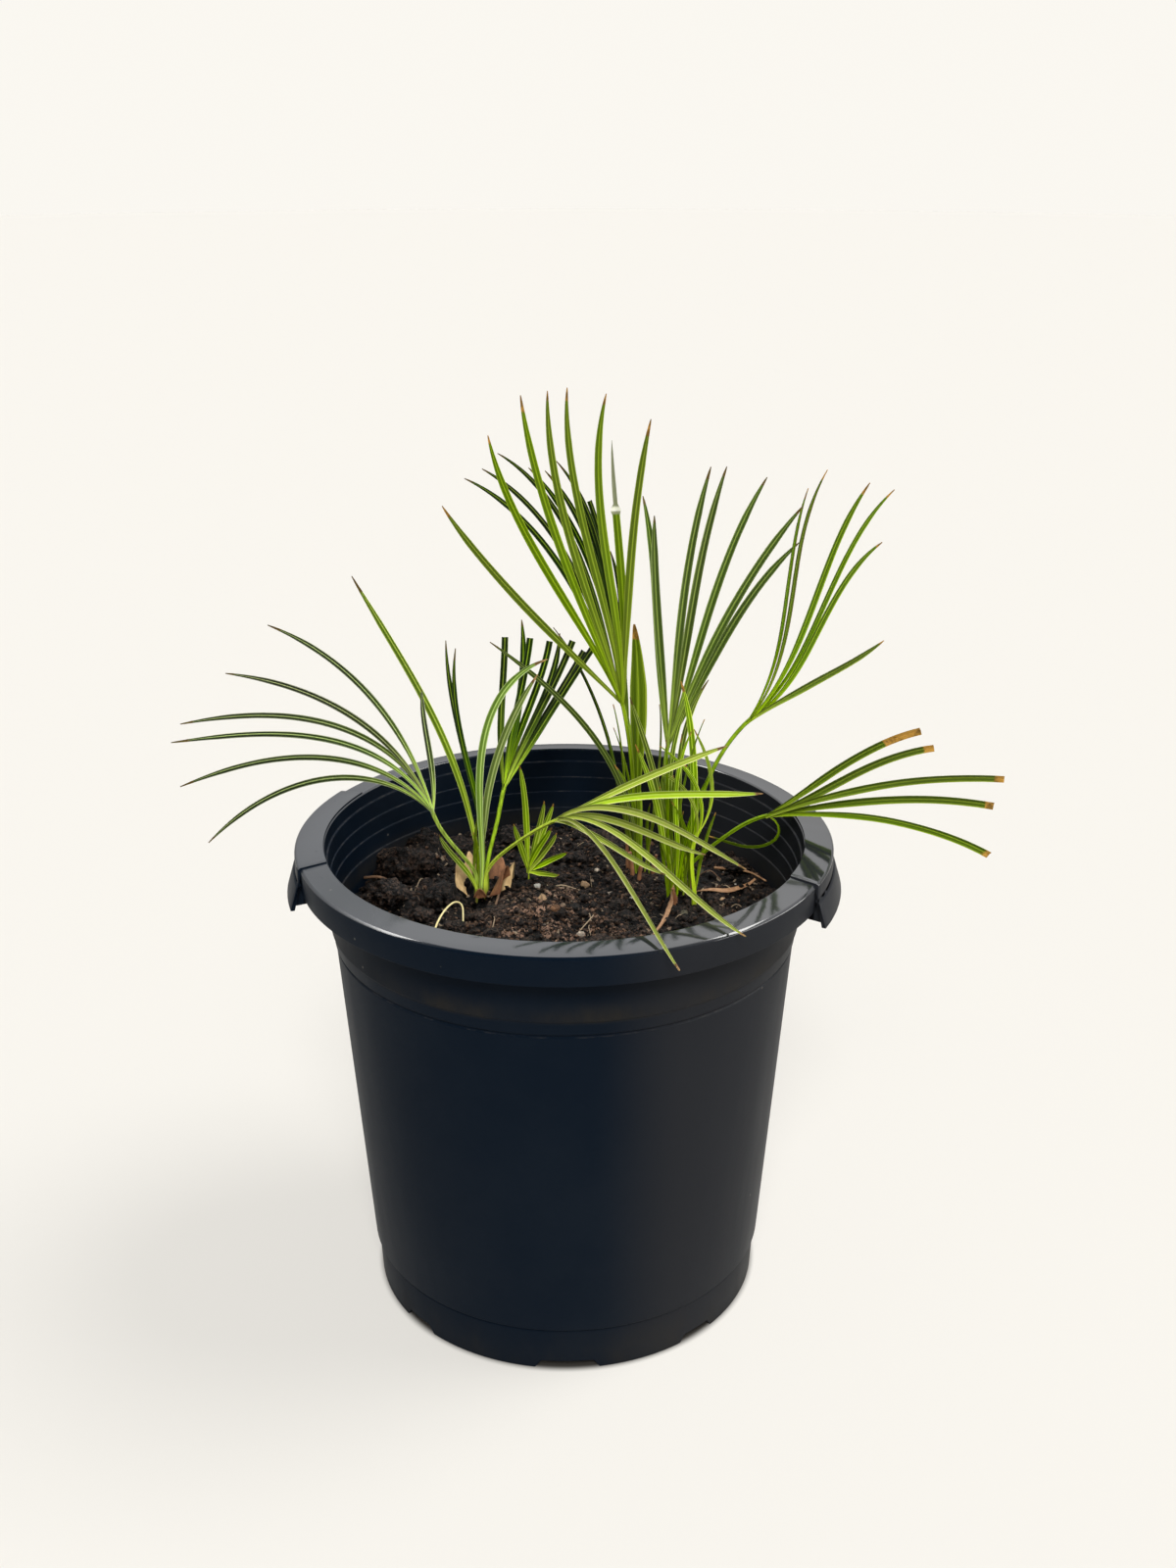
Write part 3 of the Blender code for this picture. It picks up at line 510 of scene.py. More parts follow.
def pot_plastic(n, place, x, radius, height):
    """The bare plastic, with painted light that makes it paler on its right side, where the key lamp falls,
    and painted shade that makes it darkest up inside the rim's skirt.
    """
    cloud = n.noise(place, 14.0, 5.0, 0.6)
    plastic = n.mix(n.ease(cloud, 0.35, 0.7), (0.0030, 0.0066, 0.0130, 1), (0.0048, 0.0086, 0.0150, 1))
    # Painted shade: near black up inside the rim's skirt, where little light reaches.
    painted_skirt_shade = n.times(n.ease(radius, 0.1270, 0.1275), n.ease(radius, 0.1388, 0.1384))
    painted_skirt_shade = n.times(painted_skirt_shade, n.ease(height, 0.2580, 0.2575))
    # Painted light: paler on the right side of the wall, where the key lamp falls.
    pale = n.times(n.ease(x, 0.012, 0.060), n.ease(radius, 0.1035, 0.1045))
    pale = n.times(pale, n.minus(1.0, painted_skirt_shade))
    plastic = n.mix(n.times(pale, 0.85), plastic, (0.0175, 0.0185, 0.0215, 1))
    return n.mix(painted_skirt_shade, plastic, (0.0012, 0.0014, 0.0018, 1))


def pot_material(title, gloss, level):
    """Dark moulded plastic with painted light on its right side and painted shade inside the rim's skirt,
    dust, crumbs on the inner ledges, a few pale specks and fine scratches.
    """
    n = new_material(title)
    place = n.place()
    x, y, height = n.parts(place, "XYZ")
    upward = n.parts(n.add("NewGeometry").outputs["Normal"], "XYZ")[2]
    radius = n.math("SQRT", n.plus(n.times(x, x), n.times(y, y)))
    dust = pot_dust(n, height)
    colour = n.mix(dust, pot_plastic(n, place, x, radius, height), (0.032, 0.026, 0.016, 1))
    inside = n.times(n.ease(radius, 0.1262, 0.1256), n.ease(upward, 0.35, 0.75))
    crumbs = n.ease(n.noise(place, 160.0, 4.0, 0.7), 0.42, 0.70)
    ledge = n.times(inside, n.times(crumbs, 0.12))
    colour = n.mix(ledge, colour, (0.16, 0.14, 0.115, 1))
    specks = n.voronoi(place, 70.0)
    dot = n.ease(specks["Distance"], 0.062, 0.03)
    rare = n.ease(n.parts(specks["Color"])[0], 0.92, 0.94)
    colour = n.mix(n.times(n.times(dot, rare), 0.30), colour, (0.24, 0.22, 0.19, 1))
    streak = n.noise(n.place(1.0, 1.0, 0.14), 60.0, 4.0, 0.6)
    scratch = n.ease(n.noise(n.place(0.16, 0.16, 1.0), 900.0, 2.0, 0.5), 0.70, 0.78)
    worn = n.ease(x, -0.070, -0.100)
    rough = n.plus(gloss, n.times(streak, 0.5 * gloss))
    rough = n.plus(rough, n.times(n.plus(dust, ledge), 0.35))
    rough = n.plus(rough, n.times(scratch, 0.08))
    rough = n.plus(rough, n.times(worn, 0.5 * level))
    relief = n.bump(n.noise(place, 420.0, 3.0, 0.6), 0.00012, 0.8 * gloss)
    relief = n.bump(n.noise(place, 48.0, 3.0), 0.0006, 0.10, relief)
    n.set(Base_Color=colour, Roughness=rough, Normal=relief, Specular_IOR_Level=level)
    return n.owner


def soil_material(title, dark, light, scale=900.0, fleck=0.0, mound=None):
    """Damp peat and bark: dark crumbs with lighter grains and fibres, browner round a mound, and painted
    shade where the mesh's point attribute marks it.
    """
    n = new_material(title)
    place = n.place()
    grain = n.noise(place, scale, 6.0, 0.7)
    patch = n.noise(place, 34.0, 4.0, 0.6)
    tone, step, _ = n.parts(n.voronoi(place, 0.75 * scale)["Color"])
    share = n.plus(n.times(grain, 0.35), n.times(patch, 0.40))
    share = n.plus(share, n.times(tone, 0.36))
    # Painted shade: darker where the point attribute marks pits, the foot of clods and the undersides of
    # lumps.
    share = n.minus(share, n.times(n.attribute("painted_soil_shade")["Fac"], 0.24))
    colour = n.ramp(share, [(0.50, dark), (0.62, blend(dark, light, 0.3)), (0.74, light)])
    if mound:
        near = n.ease(n.vector("DISTANCE", place, MOUND), 0.058, 0.012)
        colour = n.mix(n.times(near, n.ease(share, 0.5, 0.68)), colour, mound)
    if fleck:
        chosen = n.parts(n.voronoi(place, 520.0)["Color"])[0]
        colour = n.mix(n.times(n.ease(chosen, 0.955, 0.97), fleck), colour, (0.42, 0.32, 0.22, 1))
    relief = n.bump(step, 0.0010, 0.8)
    relief = n.bump(grain, 0.0018, 1.0, relief)
    relief = n.bump(n.noise(place, scale * 0.3, 4.0, 0.6), 0.0035, 0.9, relief)
    n.set(Base_Color=colour, Normal=relief, Roughness=0.70, Specular_IOR_Level=0.22)
    return n.owner


def green_blade(n, tones, along, across, shade, browned, veins):
    """A blade's green: darker for some leaflets, painted shade on one half and in the fold's valleys, pale
    veins, a pale rib and pale edges as painted highlights, and edges browned where a leaflet is marked so.
    """
    root, middle, far, edge = tones
    wander = n.times(n.minus(n.noise(n.place(), 60.0, 3.0), 0.5), 0.16)
    blade = n.ramp(n.plus(along, wander), [(0.04, root), (0.36, middle), (0.68, far), (0.97, far)])
    shading = n.times(n.times(shade, 0.40), n.ease(along, 0.1, 0.5))
    blade = n.mix(shading, blade, shaded(far, 0.55))
    blade = n.mix(n.times(n.ease(veins, 0.3, 1.0), 0.14), blade, edge)
    sideways = n.math("ABSOLUTE", n.minus(n.times(across, 2.0), 1.0))
    # Painted shade in the fold's valleys on either side of the rib.
    painted_trough_shade = n.times(n.ease(sideways, 0.08, 0.18), n.ease(sideways, 0.62, 0.40))
    painted_trough_shade = n.times(painted_trough_shade, n.ease(along, 0.04, 0.34, 0.15, 0.40))
    blade = n.mix(painted_trough_shade, blade, shaded(far, 0.55))
    # Painted shade on the half of the blade turned from the key lamp.
    blade = n.mix(n.times(n.ease(across, 0.42, 0.24), 0.72), blade, shaded(far, 0.50))
    # Painted highlight along the edges, stronger on the lit half; where a leaflet is browned its edges take
    # their own brown instead.
    rim = n.times(n.ease(sideways, 0.74, 0.88), n.ease(across, 0.0, 0.9, 0.35, 0.85))
    blade = n.mix(rim, blade, n.mix(browned, edge, (0.20, 0.095, 0.03, 1)))
    # Painted highlight along the rib.
    rib = n.times(n.ease(sideways, 0.20, 0.08), 0.55)
    return n.mix(rib, blade, blend(root, edge, 0.5))


def tinted(n, colour, chance):
    """A slightly different green for each leaflet."""
    made = n.add("HueSaturation")
    n.fill(made, Color=colour, Hue=n.plus(0.490, n.times(chance, 0.022)),
           Saturation=n.plus(0.94, n.times(chance, 0.12)), Value=n.plus(0.84, n.times(chance, 0.34)))
    return made.outputs["Color"]


def dried(n, blade, tip, dead, snapped, blotch):
    """A blade browned where it is dead, and papery beyond the white ring where it snapped."""
    ragged = n.plus(dead, n.times(n.minus(blotch, 0.5), 1.2))
    dying = n.times(n.ease(ragged, 0.35, 0.6), n.ease(dead, 0.02, 0.15))
    brown = n.mix(n.ease(blotch, 0.45, 0.60, 0.0, 0.75), tip, (0.11, 0.062, 0.014, 1))
    blade = n.mix(dying, blade, brown)
    papery = n.mix(blotch, (0.20, 0.23, 0.11, 1), (0.34, 0.35, 0.24, 1))
    blade = n.mix(n.ease(snapped, 0.0, 0.45), blade, papery)
    return n.mix(n.ease(snapped, 0.6, 0.9), blade, (0.85, 0.86, 0.74, 1))


def stalk_colour(n, root, middle, along):
    """A stem's green, brown at the soil and streaked along its length."""
    green = blend(root, middle, 0.5)
    stalk = n.ramp(along, [(0.0, (0.13, 0.10, 0.03, 1)), (0.10, green), (1.0, green)])
    streak = n.ease(n.noise(n.place(1.0, 1.0, 0.06), 900.0, 3.0), 0.4, 0.65)
    return n.mix(n.times(streak, 0.45), stalk, shaded(middle, 0.45))


def leaf_material(title, root, middle, far, tip, edge):
    """Blades and stem, coloured along and across by the two point colours that LeafMesh writes."""
    n = new_material(title)
    data = n.attribute("leaf")
    along, across, chance = n.parts(data["Color"])
    marks = n.attribute("leaf_marks")
    dead, browned, shade = n.parts(marks["Color"])
    blotch = n.noise(n.place(), 180.0, 4.0, 0.6)
    veins = n.math("SINE", n.plus(n.times(across, 31.0), n.times(chance, 6.0)))
    lines = n.math("SINE", n.times(across, 88.0))
    blade = green_blade(n, (root, middle, far, edge), along, across, shade, browned, veins)
    blade = dried(n, tinted(n, blade, chance), tip, dead, marks["Alpha"], blotch)
    colour = n.mix(data["Alpha"], blade, stalk_colour(n, root, middle, along))
    relief = n.bump(veins, 0.00016, 0.6, n.bump(lines, 0.00006, 0.4))
    n.set(Base_Color=colour, Roughness=n.plus(0.38, n.times(blotch, 0.14)), Normal=relief,
          Specular_IOR_Level=0.12, Subsurface_Weight=0.08, Subsurface_Radius=(0.6, 0.8, 0.2),
          Subsurface_Scale=0.001)
    return n.owner


def dry_material(title, light, dark, scale=300.0):
    """Dead leaf or husk: upright fibres, blotched brown."""
    n = new_material(title)
    fibre = n.noise(n.place(1.0, 1.0, 0.25), scale, 4.0, 0.65)
    blotch = n.noise(n.place(), 90.0, 4.0, 0.6)
    colour = n.ramp(n.plus(n.times(fibre, 0.6), n.times(blotch, 0.5)), [(0.38, dark), (0.72, light)])
    n.set(Base_Color=colour, Normal=n.bump(fibre, 0.0004, 0.6), Roughness=0.72)
    return n.owner


def filleted(profile, radius, arc=3):
    """Round the corners of an open profile, each by at most a third of its shorter side."""
    result = [Vector(profile[0])]
    for before, here, after in zip(profile, profile[1:], profile[2:]):
        here = Vector(here)
        back = Vector(before) - here
        ahead = Vector(after) - here
        turn = math.pi - back.angle(ahead)
        if turn < math.radians(4):
            result.append(here)
            continue
        reach = min(radius * math.tan(turn / 2), back.length / 3, ahead.length / 3)
        start = here + back.normalized() * reach
        end = here + ahead.normalized() * reach
        for step in range(arc + 1):
            share = step / arc
            result.append(start * (1 - share) ** 2 + here * (2 * share * (1 - share)) + end * share ** 2)
    result.append(Vector(profile[-1]))
    return result


def pot_profile():
    """The pot's section from the middle of its floor up the inside, over the rim and down the outside."""
    inner = [(0, 2.6), (67.0, 2.6), (69.6, 8.6), (104.4, 8.6), (106.6, 26.0), (119.8, 209.0), (120.4, 217.6)]
    for height, low_r, high_r in LEDGES:
        inner += [(low_r, height - 0.2), (high_r, height + 0.2)]
    rim = [(MOUTH_R, RIM_TOP_Z - 0.9), (MOUTH_R + 0.9, RIM_TOP_Z), (RIM_R - 1.2, RIM_EDGE_Z + 0.05),
           (RIM_R, RIM_EDGE_Z - 1.1)]
    skirt = [(139.4, 244.9), (137.1, 244.9), (137.1, 257.6), (127.6, 258.5), (127.4, 248.0), (124.8, 243.0)]
    outer = [(124.6, 219.4), (124.6, 218.2), (123.7, 217.6), (123.0, 210.6), (121.6, 209.7), (121.6, 208.9),
             (122.3, 208.1), (109.1, 27.0), (107.8, 26.4), (106.8, 25.7), (107.5, 24.4),
             (106.2, 0.6), (105.6, 0)]
    under = [(103.4, 0), (103.0, 6.0), (70.0, 6.0), (67.4, 0), (0, 0)]
    return filleted(inner + rim + skirt + outer + under, 0.7)


def turned(title, profile, steps):
    """Turn a profile round the middle into a closed body."""
    bm = bmesh.new()
    points = [bm.verts.new((point[0], 0, point[1])) for point in profile]
    for first, second in zip(points, points[1:]):
        bm.edges.new((first, second))
    made = from_bmesh(title, bm)
    screw = made.modifiers.new("Turn", "SCREW")
    screw.axis = "Z"
    screw.angle = math.tau
    screw.steps = steps
    screw.render_steps = steps
    screw.use_merge_vertices = True
    screw.merge_threshold = 0.00002
    bake(made)
    return made


def ring_sector(title, profile, start, sweep, steps, group):
    """Sweep a closed section through part of a turn."""
    bm = bmesh.new()
    face = bm.faces.new([bm.verts.new(polar(point[0], start, point[1])) for point in profile])
    parts = [face] + list(face.edges) + list(face.verts)
    bmesh.ops.spin(bm, geom=parts, cent=(0, 0, 0), axis=(0, 0, 1), angle=math.radians(sweep), steps=steps)
    bmesh.ops.recalc_face_normals(bm, faces=bm.faces)
    return from_bmesh(title, bm, group=group)


def round_edges(made, width):
    bevel = made.modifiers.new("Rounded edges", "BEVEL")
    bevel.width = width * MM
    bevel.segments = 2
    bevel.limit_method = "ANGLE"
    bevel.angle_limit = math.radians(30.0)
    bake(made)


def notch_cutter(turn, width, group):
    """A block, narrower at its top, that cuts one notch out of the foot."""
    bm = bmesh.new()
    bmesh.ops.create_cube(bm, size=1.0)
    half_low = FOOT_R * math.sin(math.radians(width / 2))
    half_high = FOOT_R * math.sin(math.radians(width / 2 - 1.9))
    for corner in bm.verts:
        top = corner.co.z > 0
        side = math.copysign(half_high if top else half_low + 0.6, corner.co.x)
        depth = -FOOT_R - 4.0 if corner.co.y < 0 else -FOOT_R + 7.5
        corner.co = (side, depth, NOTCH_H if top else -1.0)
    made = from_bmesh("notch_cutter", bm, group=group)
    round_edges(made, 0.8)
    made.rotation_euler.z = math.radians(turn)


def drain_cutter(turn, group):
    """A drum that cuts one drain hole out of the floor's channel."""
    bm = bmesh.new()
    bmesh.ops.create_cone(bm, cap_ends=True, segments=32, radius1=DRAIN_HOLE_R, radius2=DRAIN_HOLE_R,
                          depth=8.0)
    made = from_bmesh("drain_cutter", bm, group=group)
    made.location = polar(DRAIN_RING_R, turn, 7.5) * MM


def add_handle(turn, pieces):
    """One grip: a flap that carries the rim outwards and down, and a plate at each of its ends."""
    mouth = MOUTH_R + 0.6
    flap = [(mouth, 261.2), (mouth, 262.9), (140.2, 261.1), (141.2, 260.2), (141.4, 252.6), (140.3, 251.7),
            (142.4, 250.3), (146.2, 237.6), (143.9, 237.6), (139.1, 258.4)]
    plate = [(126.5, 258.4), (139.4, 258.4), (144.4, 238.7), (131.0, 239.8), (124.1, 243.4), (126.3, 249.0)]
    made = ring_sector("flap", flap, turn - HANDLE_HALF, 2 * HANDLE_HALF, HANDLE_STEPS, pieces)
    round_edges(made, 0.35)
    for side in (-1, 1):
        edge = turn + side * (HANDLE_HALF - 1.3) - (1.0 if side > 0 else 0)
        made = ring_sector("plate", plate, edge, 1.0, 1, pieces)
        round_edges(made, 0.3)


def gloss_rim(pot):
    """Give the faces on top of the rim the glossy look."""
    for face in pot.data.polygons:
        spot = face.center / MM
        out = math.hypot(spot.x, spot.y)
        if spot.z > RIM_EDGE_Z - 2.6 and out > MOUTH_R - 0.6 and face.normal.z > 0.25:
            face.material_index = 1


def build_pot():
    pot = turned("pot_shell", pot_profile(), POT_STEPS)
    cuts = new_collection("pot_cuts")
    for turn, width in NOTCHES:
        notch_cutter(turn, width, cuts)
    for index in range(DRAIN_HOLES):
        drain_cutter((index + 0.5) * 360.0 / DRAIN_HOLES, cuts)
    for turn in HANDLE_TURNS:
        start = turn - HANDLE_HALF + 1.2
        ring_sector("skirt_cutter", SKIRT_CUT, start, 2 * HANDLE_HALF - 2.4, HANDLE_STEPS, cuts)
    boolean(pot, "DIFFERENCE", cuts)
    grips = new_collection("grips")
    for turn in HANDLE_TURNS:
        add_handle(turn, grips)
    boolean(pot, "UNION", grips)
    smooth(pot, 32.0)
    pot.data.materials.clear()
    pot.data.materials.append(pot_material("pot_wall_look", 0.34, 0.03))
    pot.data.materials.append(pot_material("pot_rim_look", 0.06, 0.5))
    gloss_rim(pot)
    dress(pot, "pot")


def soil_height(x, y):
    """The CAD's soil surface: clods and a pit as soft bumps, and fine unevenness."""
    height = SOIL_Z
    for centre_x, centre_y, rise, reach in SOIL_CLODS:
        away = ((x - centre_x) ** 2 + (y - centre_y) ** 2) / reach ** 2
        height += rise * math.exp(-away)
    coarse = noise.noise(Vector((x, y, 0)) / 17.0)
    fine = noise.noise(Vector((x, y, 90)) / 8.0)
    return height + SOIL_ROUGH * (coarse + 0.5 * fine)


def fine_soil_height(x, y):
    """The CAD's surface with the small lumps, crumbs and pits that the solid leaves out."""
    place = Vector((x, y, 0))
    lumps = noise.noise(place / 5.5) + 0.6 * noise.noise(place / 2.7 + Vector((7, 3, 1)))
    wide = noise.noise(place / 12.0 + Vector((2, 5, 8)))
    cell = noise.voronoi(place / 4.4)[0][0]
    fine_cell = noise.voronoi(place / 2.0)[0][0]
    small = noise.noise(place / 1.2 + Vector((1, 9, 4)))
    height = soil_height(x, y) + 2.4 * wide + 1.5 * lumps + 3.0 * (0.45 - cell)
    height = height + 1.3 * (0.4 - fine_cell) + 0.5 * small
    for pit_x, pit_y, depth, reach in SOIL_PITS:
        height -= depth * math.exp(-((x - pit_x) ** 2 + (y - pit_y) ** 2) / reach ** 2)
    return height


def on_soil(points, lift, ground):
    """Points given by x, y and height over the ground, as places."""
    return [Vector((x, y, ground(x, y) + rise + lift)) for x, y, rise in points]


def painted_soil_shade(x, y, height):
    """How much painted shade the soil gets: deep in the pits between lumps, and round the foot of the clods.
    """
    dark = (0.8 - (height - soil_height(x, y))) / 3.6
    for clod_x, clod_y, size, _ in CLODS:
        dark = max(dark, 2.2 - 2.0 * math.dist((x, y), (clod_x, clod_y)) / size)
    return max(0.0, min(1.0, dark))


# Store painted shade as a point colour, for the soil looks to darken by.
def paint_soil_shade(made, tones):
    layer = made.data.color_attributes.new("painted_soil_shade", "FLOAT_COLOR", "POINT")
    layer.data.foreach_set("color", [value for tone in tones for value in (tone, tone, tone, 1.0)])


def soil_ring(bm, radius, height=None):
    """A ring of points at one height, or else on the fine surface."""
    row = []
    for spoke in range(SOIL_SPOKES):
        turn = math.tau * spoke / SOIL_SPOKES
        x, y = radius * math.cos(turn), radius * math.sin(turn)
        row.append(bm.verts.new((x, y, fine_soil_height(x, y) if height is None else height)))
    return row


def build_soil():
    bm = bmesh.new()
    centre = bm.verts.new((0, 0, fine_soil_height(0, 0)))
    rows = [soil_ring(bm, SOIL_R * ring / SOIL_RINGS) for ring in range(1, SOIL_RINGS)]
    rows += [soil_ring(bm, radius, height) for radius, height in SOIL_SIDES]
    for spoke in range(SOIL_SPOKES):
        after = (spoke + 1) % SOIL_SPOKES
        bm.faces.new((centre, rows[0][spoke], rows[0][after]))
        for low, high in zip(rows, rows[1:]):
            bm.faces.new((low[spoke], high[spoke], high[after], low[after]))
    bm.faces.new(rows[-1][::-1])
    bmesh.ops.recalc_face_normals(bm, faces=bm.faces)
    # Painted shade: darker in pits and round the clods, and full shade on the sides below the surface.
    tones = [painted_soil_shade(*point.co) if point.co.z > SOIL_FULL_SHADE_Z else 1.0 for point in bm.verts]
    made = from_bmesh("soil_bed", bm)
    paint_soil_shade(made, tones)
    smooth(made, 60.0)
    look = soil_material("soil_look", (0.0009, 0.0007, 0.0006, 1), (0.058, 0.038, 0.028, 1), fleck=0.7,
                         mound=(0.42, 0.255, 0.175, 1))
    made.data.materials.append(look)
    dress(made, "soil")


def ball(detail):
    """Points and faces of an icosphere, to be pulled into crumbs."""
    bm = bmesh.new()
    bmesh.ops.create_icosphere(bm, subdivisions=detail, radius=1.0)
    points = [point.co.copy() for point in bm.verts]
    faces = [[corner.index for corner in face.verts] for face in bm.faces]
    bm.free()
    return points, faces


def drawn_vector(draw):
    return Vector([draw.uniform(-50, 50) for _ in range(3)])


def tube_faces(start, rows, count):
    """The faces that join rings of points into a tube closed at both ends."""
    faces = []
    for row in range(rows - 1):
        low = start + row * count
        for corner in range(count):
            after = (corner + 1) % count
            faces.append((low + corner, low + after, low + count + after, low + count + corner))
    faces.append(tuple(start + corner for corner in reversed(range(count))))
    last = start + (rows - 1) * count
    faces.append(tuple(last + corner for corner in range(count)))
    return faces


def heading(path, index):
    """Which way a path runs at one of its points."""
    return (path[min(index + 1, len(path) - 1)] - path[max(index - 1, 0)]).normalized()


class Pile:
    """Collects the points and faces of many small bodies that make one piece."""

    def __init__(self):
        self.points = []
        self.faces = []

    def add(self, points, faces):
        start = len(self.points)
        self.points += points
        self.faces += [[start + corner for corner in face] for face in faces]

    def add_lump(self, shape, centre, size, flatness, draw):
        """One rough crumb: a ball pulled about by noise, turned and stretched by the draw."""
        seed = drawn_vector(draw)
        spin = draw.uniform(0, math.tau)
        long = draw.uniform(0.8, 1.4)
        points = []
        for point in shape[0]:
            rough = 1.0 + 0.35 * noise.noise(point * 1.3 + seed) + 0.22 * noise.noise(point * 3.1 + seed)
            x, y, z = point * (size * rough)
            x *= long
            turned_x = x * math.cos(spin) - y * math.sin(spin)
            turned_y = x * math.sin(spin) + y * math.cos(spin)
            points.append(centre + Vector((turned_x, turned_y, z * flatness)))
        self.add(points, shape[1])

    def add_tube(self, path, radius, corners=8, knobs=0.15, seed=0.0):
        """A round stalk of slightly uneven width that thins towards its end."""
        start = len(self.points)
        for index, spot in enumerate(path):
            along = heading(path, index)
            side = along.cross(Vector((0.31, 0.22, 0.93))).normalized()
            front = along.cross(side)
            share = index / (len(path) - 1)
            uneven = 1.0 + knobs * noise.noise(spot / 2.5 + Vector((seed, 0, 0)))
            size = radius * (1.0 - 0.35 * share) * uneven
            for corner in range(corners):
                turn = math.tau * corner / corners
                self.points.append(spot + side * (size * math.cos(turn)) + front * (size * math.sin(turn)))
        self.faces += tube_faces(start, len(path), corners)

    def make(self, title, look, slot="potting_mix", node=None, degrees=50.0):
        made = from_lists(title, self.points, self.faces, look)
        smooth(made, degrees)
        dress(made, node)
        return made


def strewn(draw, near):
    """A drawn place on the soil: round one of the given middles, or else anywhere."""
    if near:
        centre_x, centre_y, reach = near[draw.randrange(len(near))]
        return draw.gauss(centre_x, reach), draw.gauss(centre_y, reach)
    radius = (SOIL_R - 1.5) * math.sqrt(draw.random())
    turn = draw.uniform(0, math.tau)
    return radius * math.cos(turn), radius * math.sin(turn)


def scatter(title, count, sizes, flatness, detail, look, seed, near=None):
    """Crumbs strewn over the soil by a seeded draw, partly sunk, as one piece."""
    draw = random.Random(seed)
    shape = ball(detail)
    pile = Pile()
    for _ in range(count):
        size = sizes[0] + (sizes[1] - sizes[0]) * draw.random() ** 2.2
        x, y = strewn(draw, near)
        if math.hypot(x, y) > SOIL_R - 1.5 * size:
            continue
        height = fine_soil_height(x, y) + size * flatness * CRUMB_LIFT
        pile.add_lump(shape, Vector((x, y, height)), size, flatness, draw)
    pile.make(title, look)


def build_clods(look):
    """The big crumbly lumps, each a fine ball pulled about by noise of four sizes, with painted shade low on
    them and in their dents.
    """
    draw = random.Random(23)
    shape, faces = ball(5)
    pile = Pile()
    tones = []
    for x, y, size, flatness in CLODS:
        seed = drawn_vector(draw)
        centre = Vector((x, y, soil_height(x, y) + size * flatness * 0.1))
        points = []
        for point in shape:
            rough = 1.0 + 0.30 * noise.noise(point * 1.2 + seed) + 0.20 * noise.noise(point * 3.5 + seed)
            rough += 0.16 * (0.5 - noise.voronoi(point * 4.5 + seed)[0][0])
            rough += 0.07 * noise.noise(point * 11.0 + seed)
            # Painted shade: darker low on each lump and where the noise dents it.
            tones.append(max(0.0, min(1.0, 0.22 - 0.75 * point.z + 1.8 * (1.0 - rough))))
            spot = point * (size * rough)
            points.append(centre + Vector((spot.x, spot.y, spot.z * flatness)))
        pile.add(points, faces)
    paint_soil_shade(pile.make("soil_clods", look, degrees=60.0), tones)


def build_pebbles():
    shape = ball(3)
    for index, (colour, stones) in enumerate(PEBBLES):
        look = soil_material(f"pebble_look_{index}", shaded(colour, 0.55), shaded(colour, 1.25), 500.0)
        draw = random.Random(40 + index)
        pile = Pile()
        for x, y, size in stones:
            pile.add_lump(shape, Vector((x, y, fine_soil_height(x, y) + 0.3 * size)), size, 0.75, draw)
        pile.make(f"pebbles_{index}", look)


def smooth_path(points, steps=6):
    """A Catmull-Rom curve through a few points."""
    spots = [2 * points[0] - points[1]] + points + [2 * points[-1] - points[-2]]
    result = []
    for first, second, third, fourth in zip(spots, spots[1:], spots[2:], spots[3:]):
        for step in range(steps):
            t = step / steps
            bend = (2 * first - 5 * second + 4 * third - fourth) * t * t
            swing = (3 * second - first - 3 * third + fourth) * t ** 3
            result.append(0.5 * (2 * second + (third - first) * t + bend + swing))
    result.append(spots[-2])
    return result


def fibre_route(draw):
    """Four drawn points of one short bent fibre on the soil."""
    away = (SOIL_R - 12.0) * math.sqrt(draw.random())
    turn = draw.uniform(0, math.tau)
    x, y = away * math.cos(turn), away * math.sin(turn)
    bearing = draw.uniform(0, math.tau)
    reach = draw.uniform(3.0, 9.0)
    bend = draw.uniform(-0.9, 0.9)
    route = []
    for step in range(4):
        route.append((x, y, draw.uniform(0.0, 1.4) if step in (1, 2) else 0.0))
        bearing += bend / 3
        x += reach / 3 * math.cos(bearing)
        y += reach / 3 * math.sin(bearing)
    return route


def build_twigs():
    """Bark twigs and rootlets at given places, and fine fibres by a seeded draw."""
    brown = dry_material("twig_look", (0.20, 0.115, 0.065, 1), (0.045, 0.024, 0.014, 1))
    pale = dry_material("rootlet_look", (0.46, 0.36, 0.24, 1), (0.22, 0.15, 0.09, 1))
    for title, look, stalks in (("twigs", brown, TWIGS), ("rootlets", pale, ROOTLETS)):
        pile = Pile()
        for index, (radius, route) in enumerate(stalks):
            pile.add_tube(smooth_path(on_soil(route, 0.4, fine_soil_height)), radius, seed=float(index))
        pile.make(title, look)
    draw = random.Random(31)
    for title, look, count in (("fibres_dark", brown, 70), ("fibres_pale", pale, 34)):
        pile = Pile()
        for _ in range(count):
            path = smooth_path(on_soil(fibre_route(draw), 0.1, fine_soil_height), 4)
            pile.add_tube(path, draw.uniform(0.16, 0.34), 5)
        pile.make(title, look)


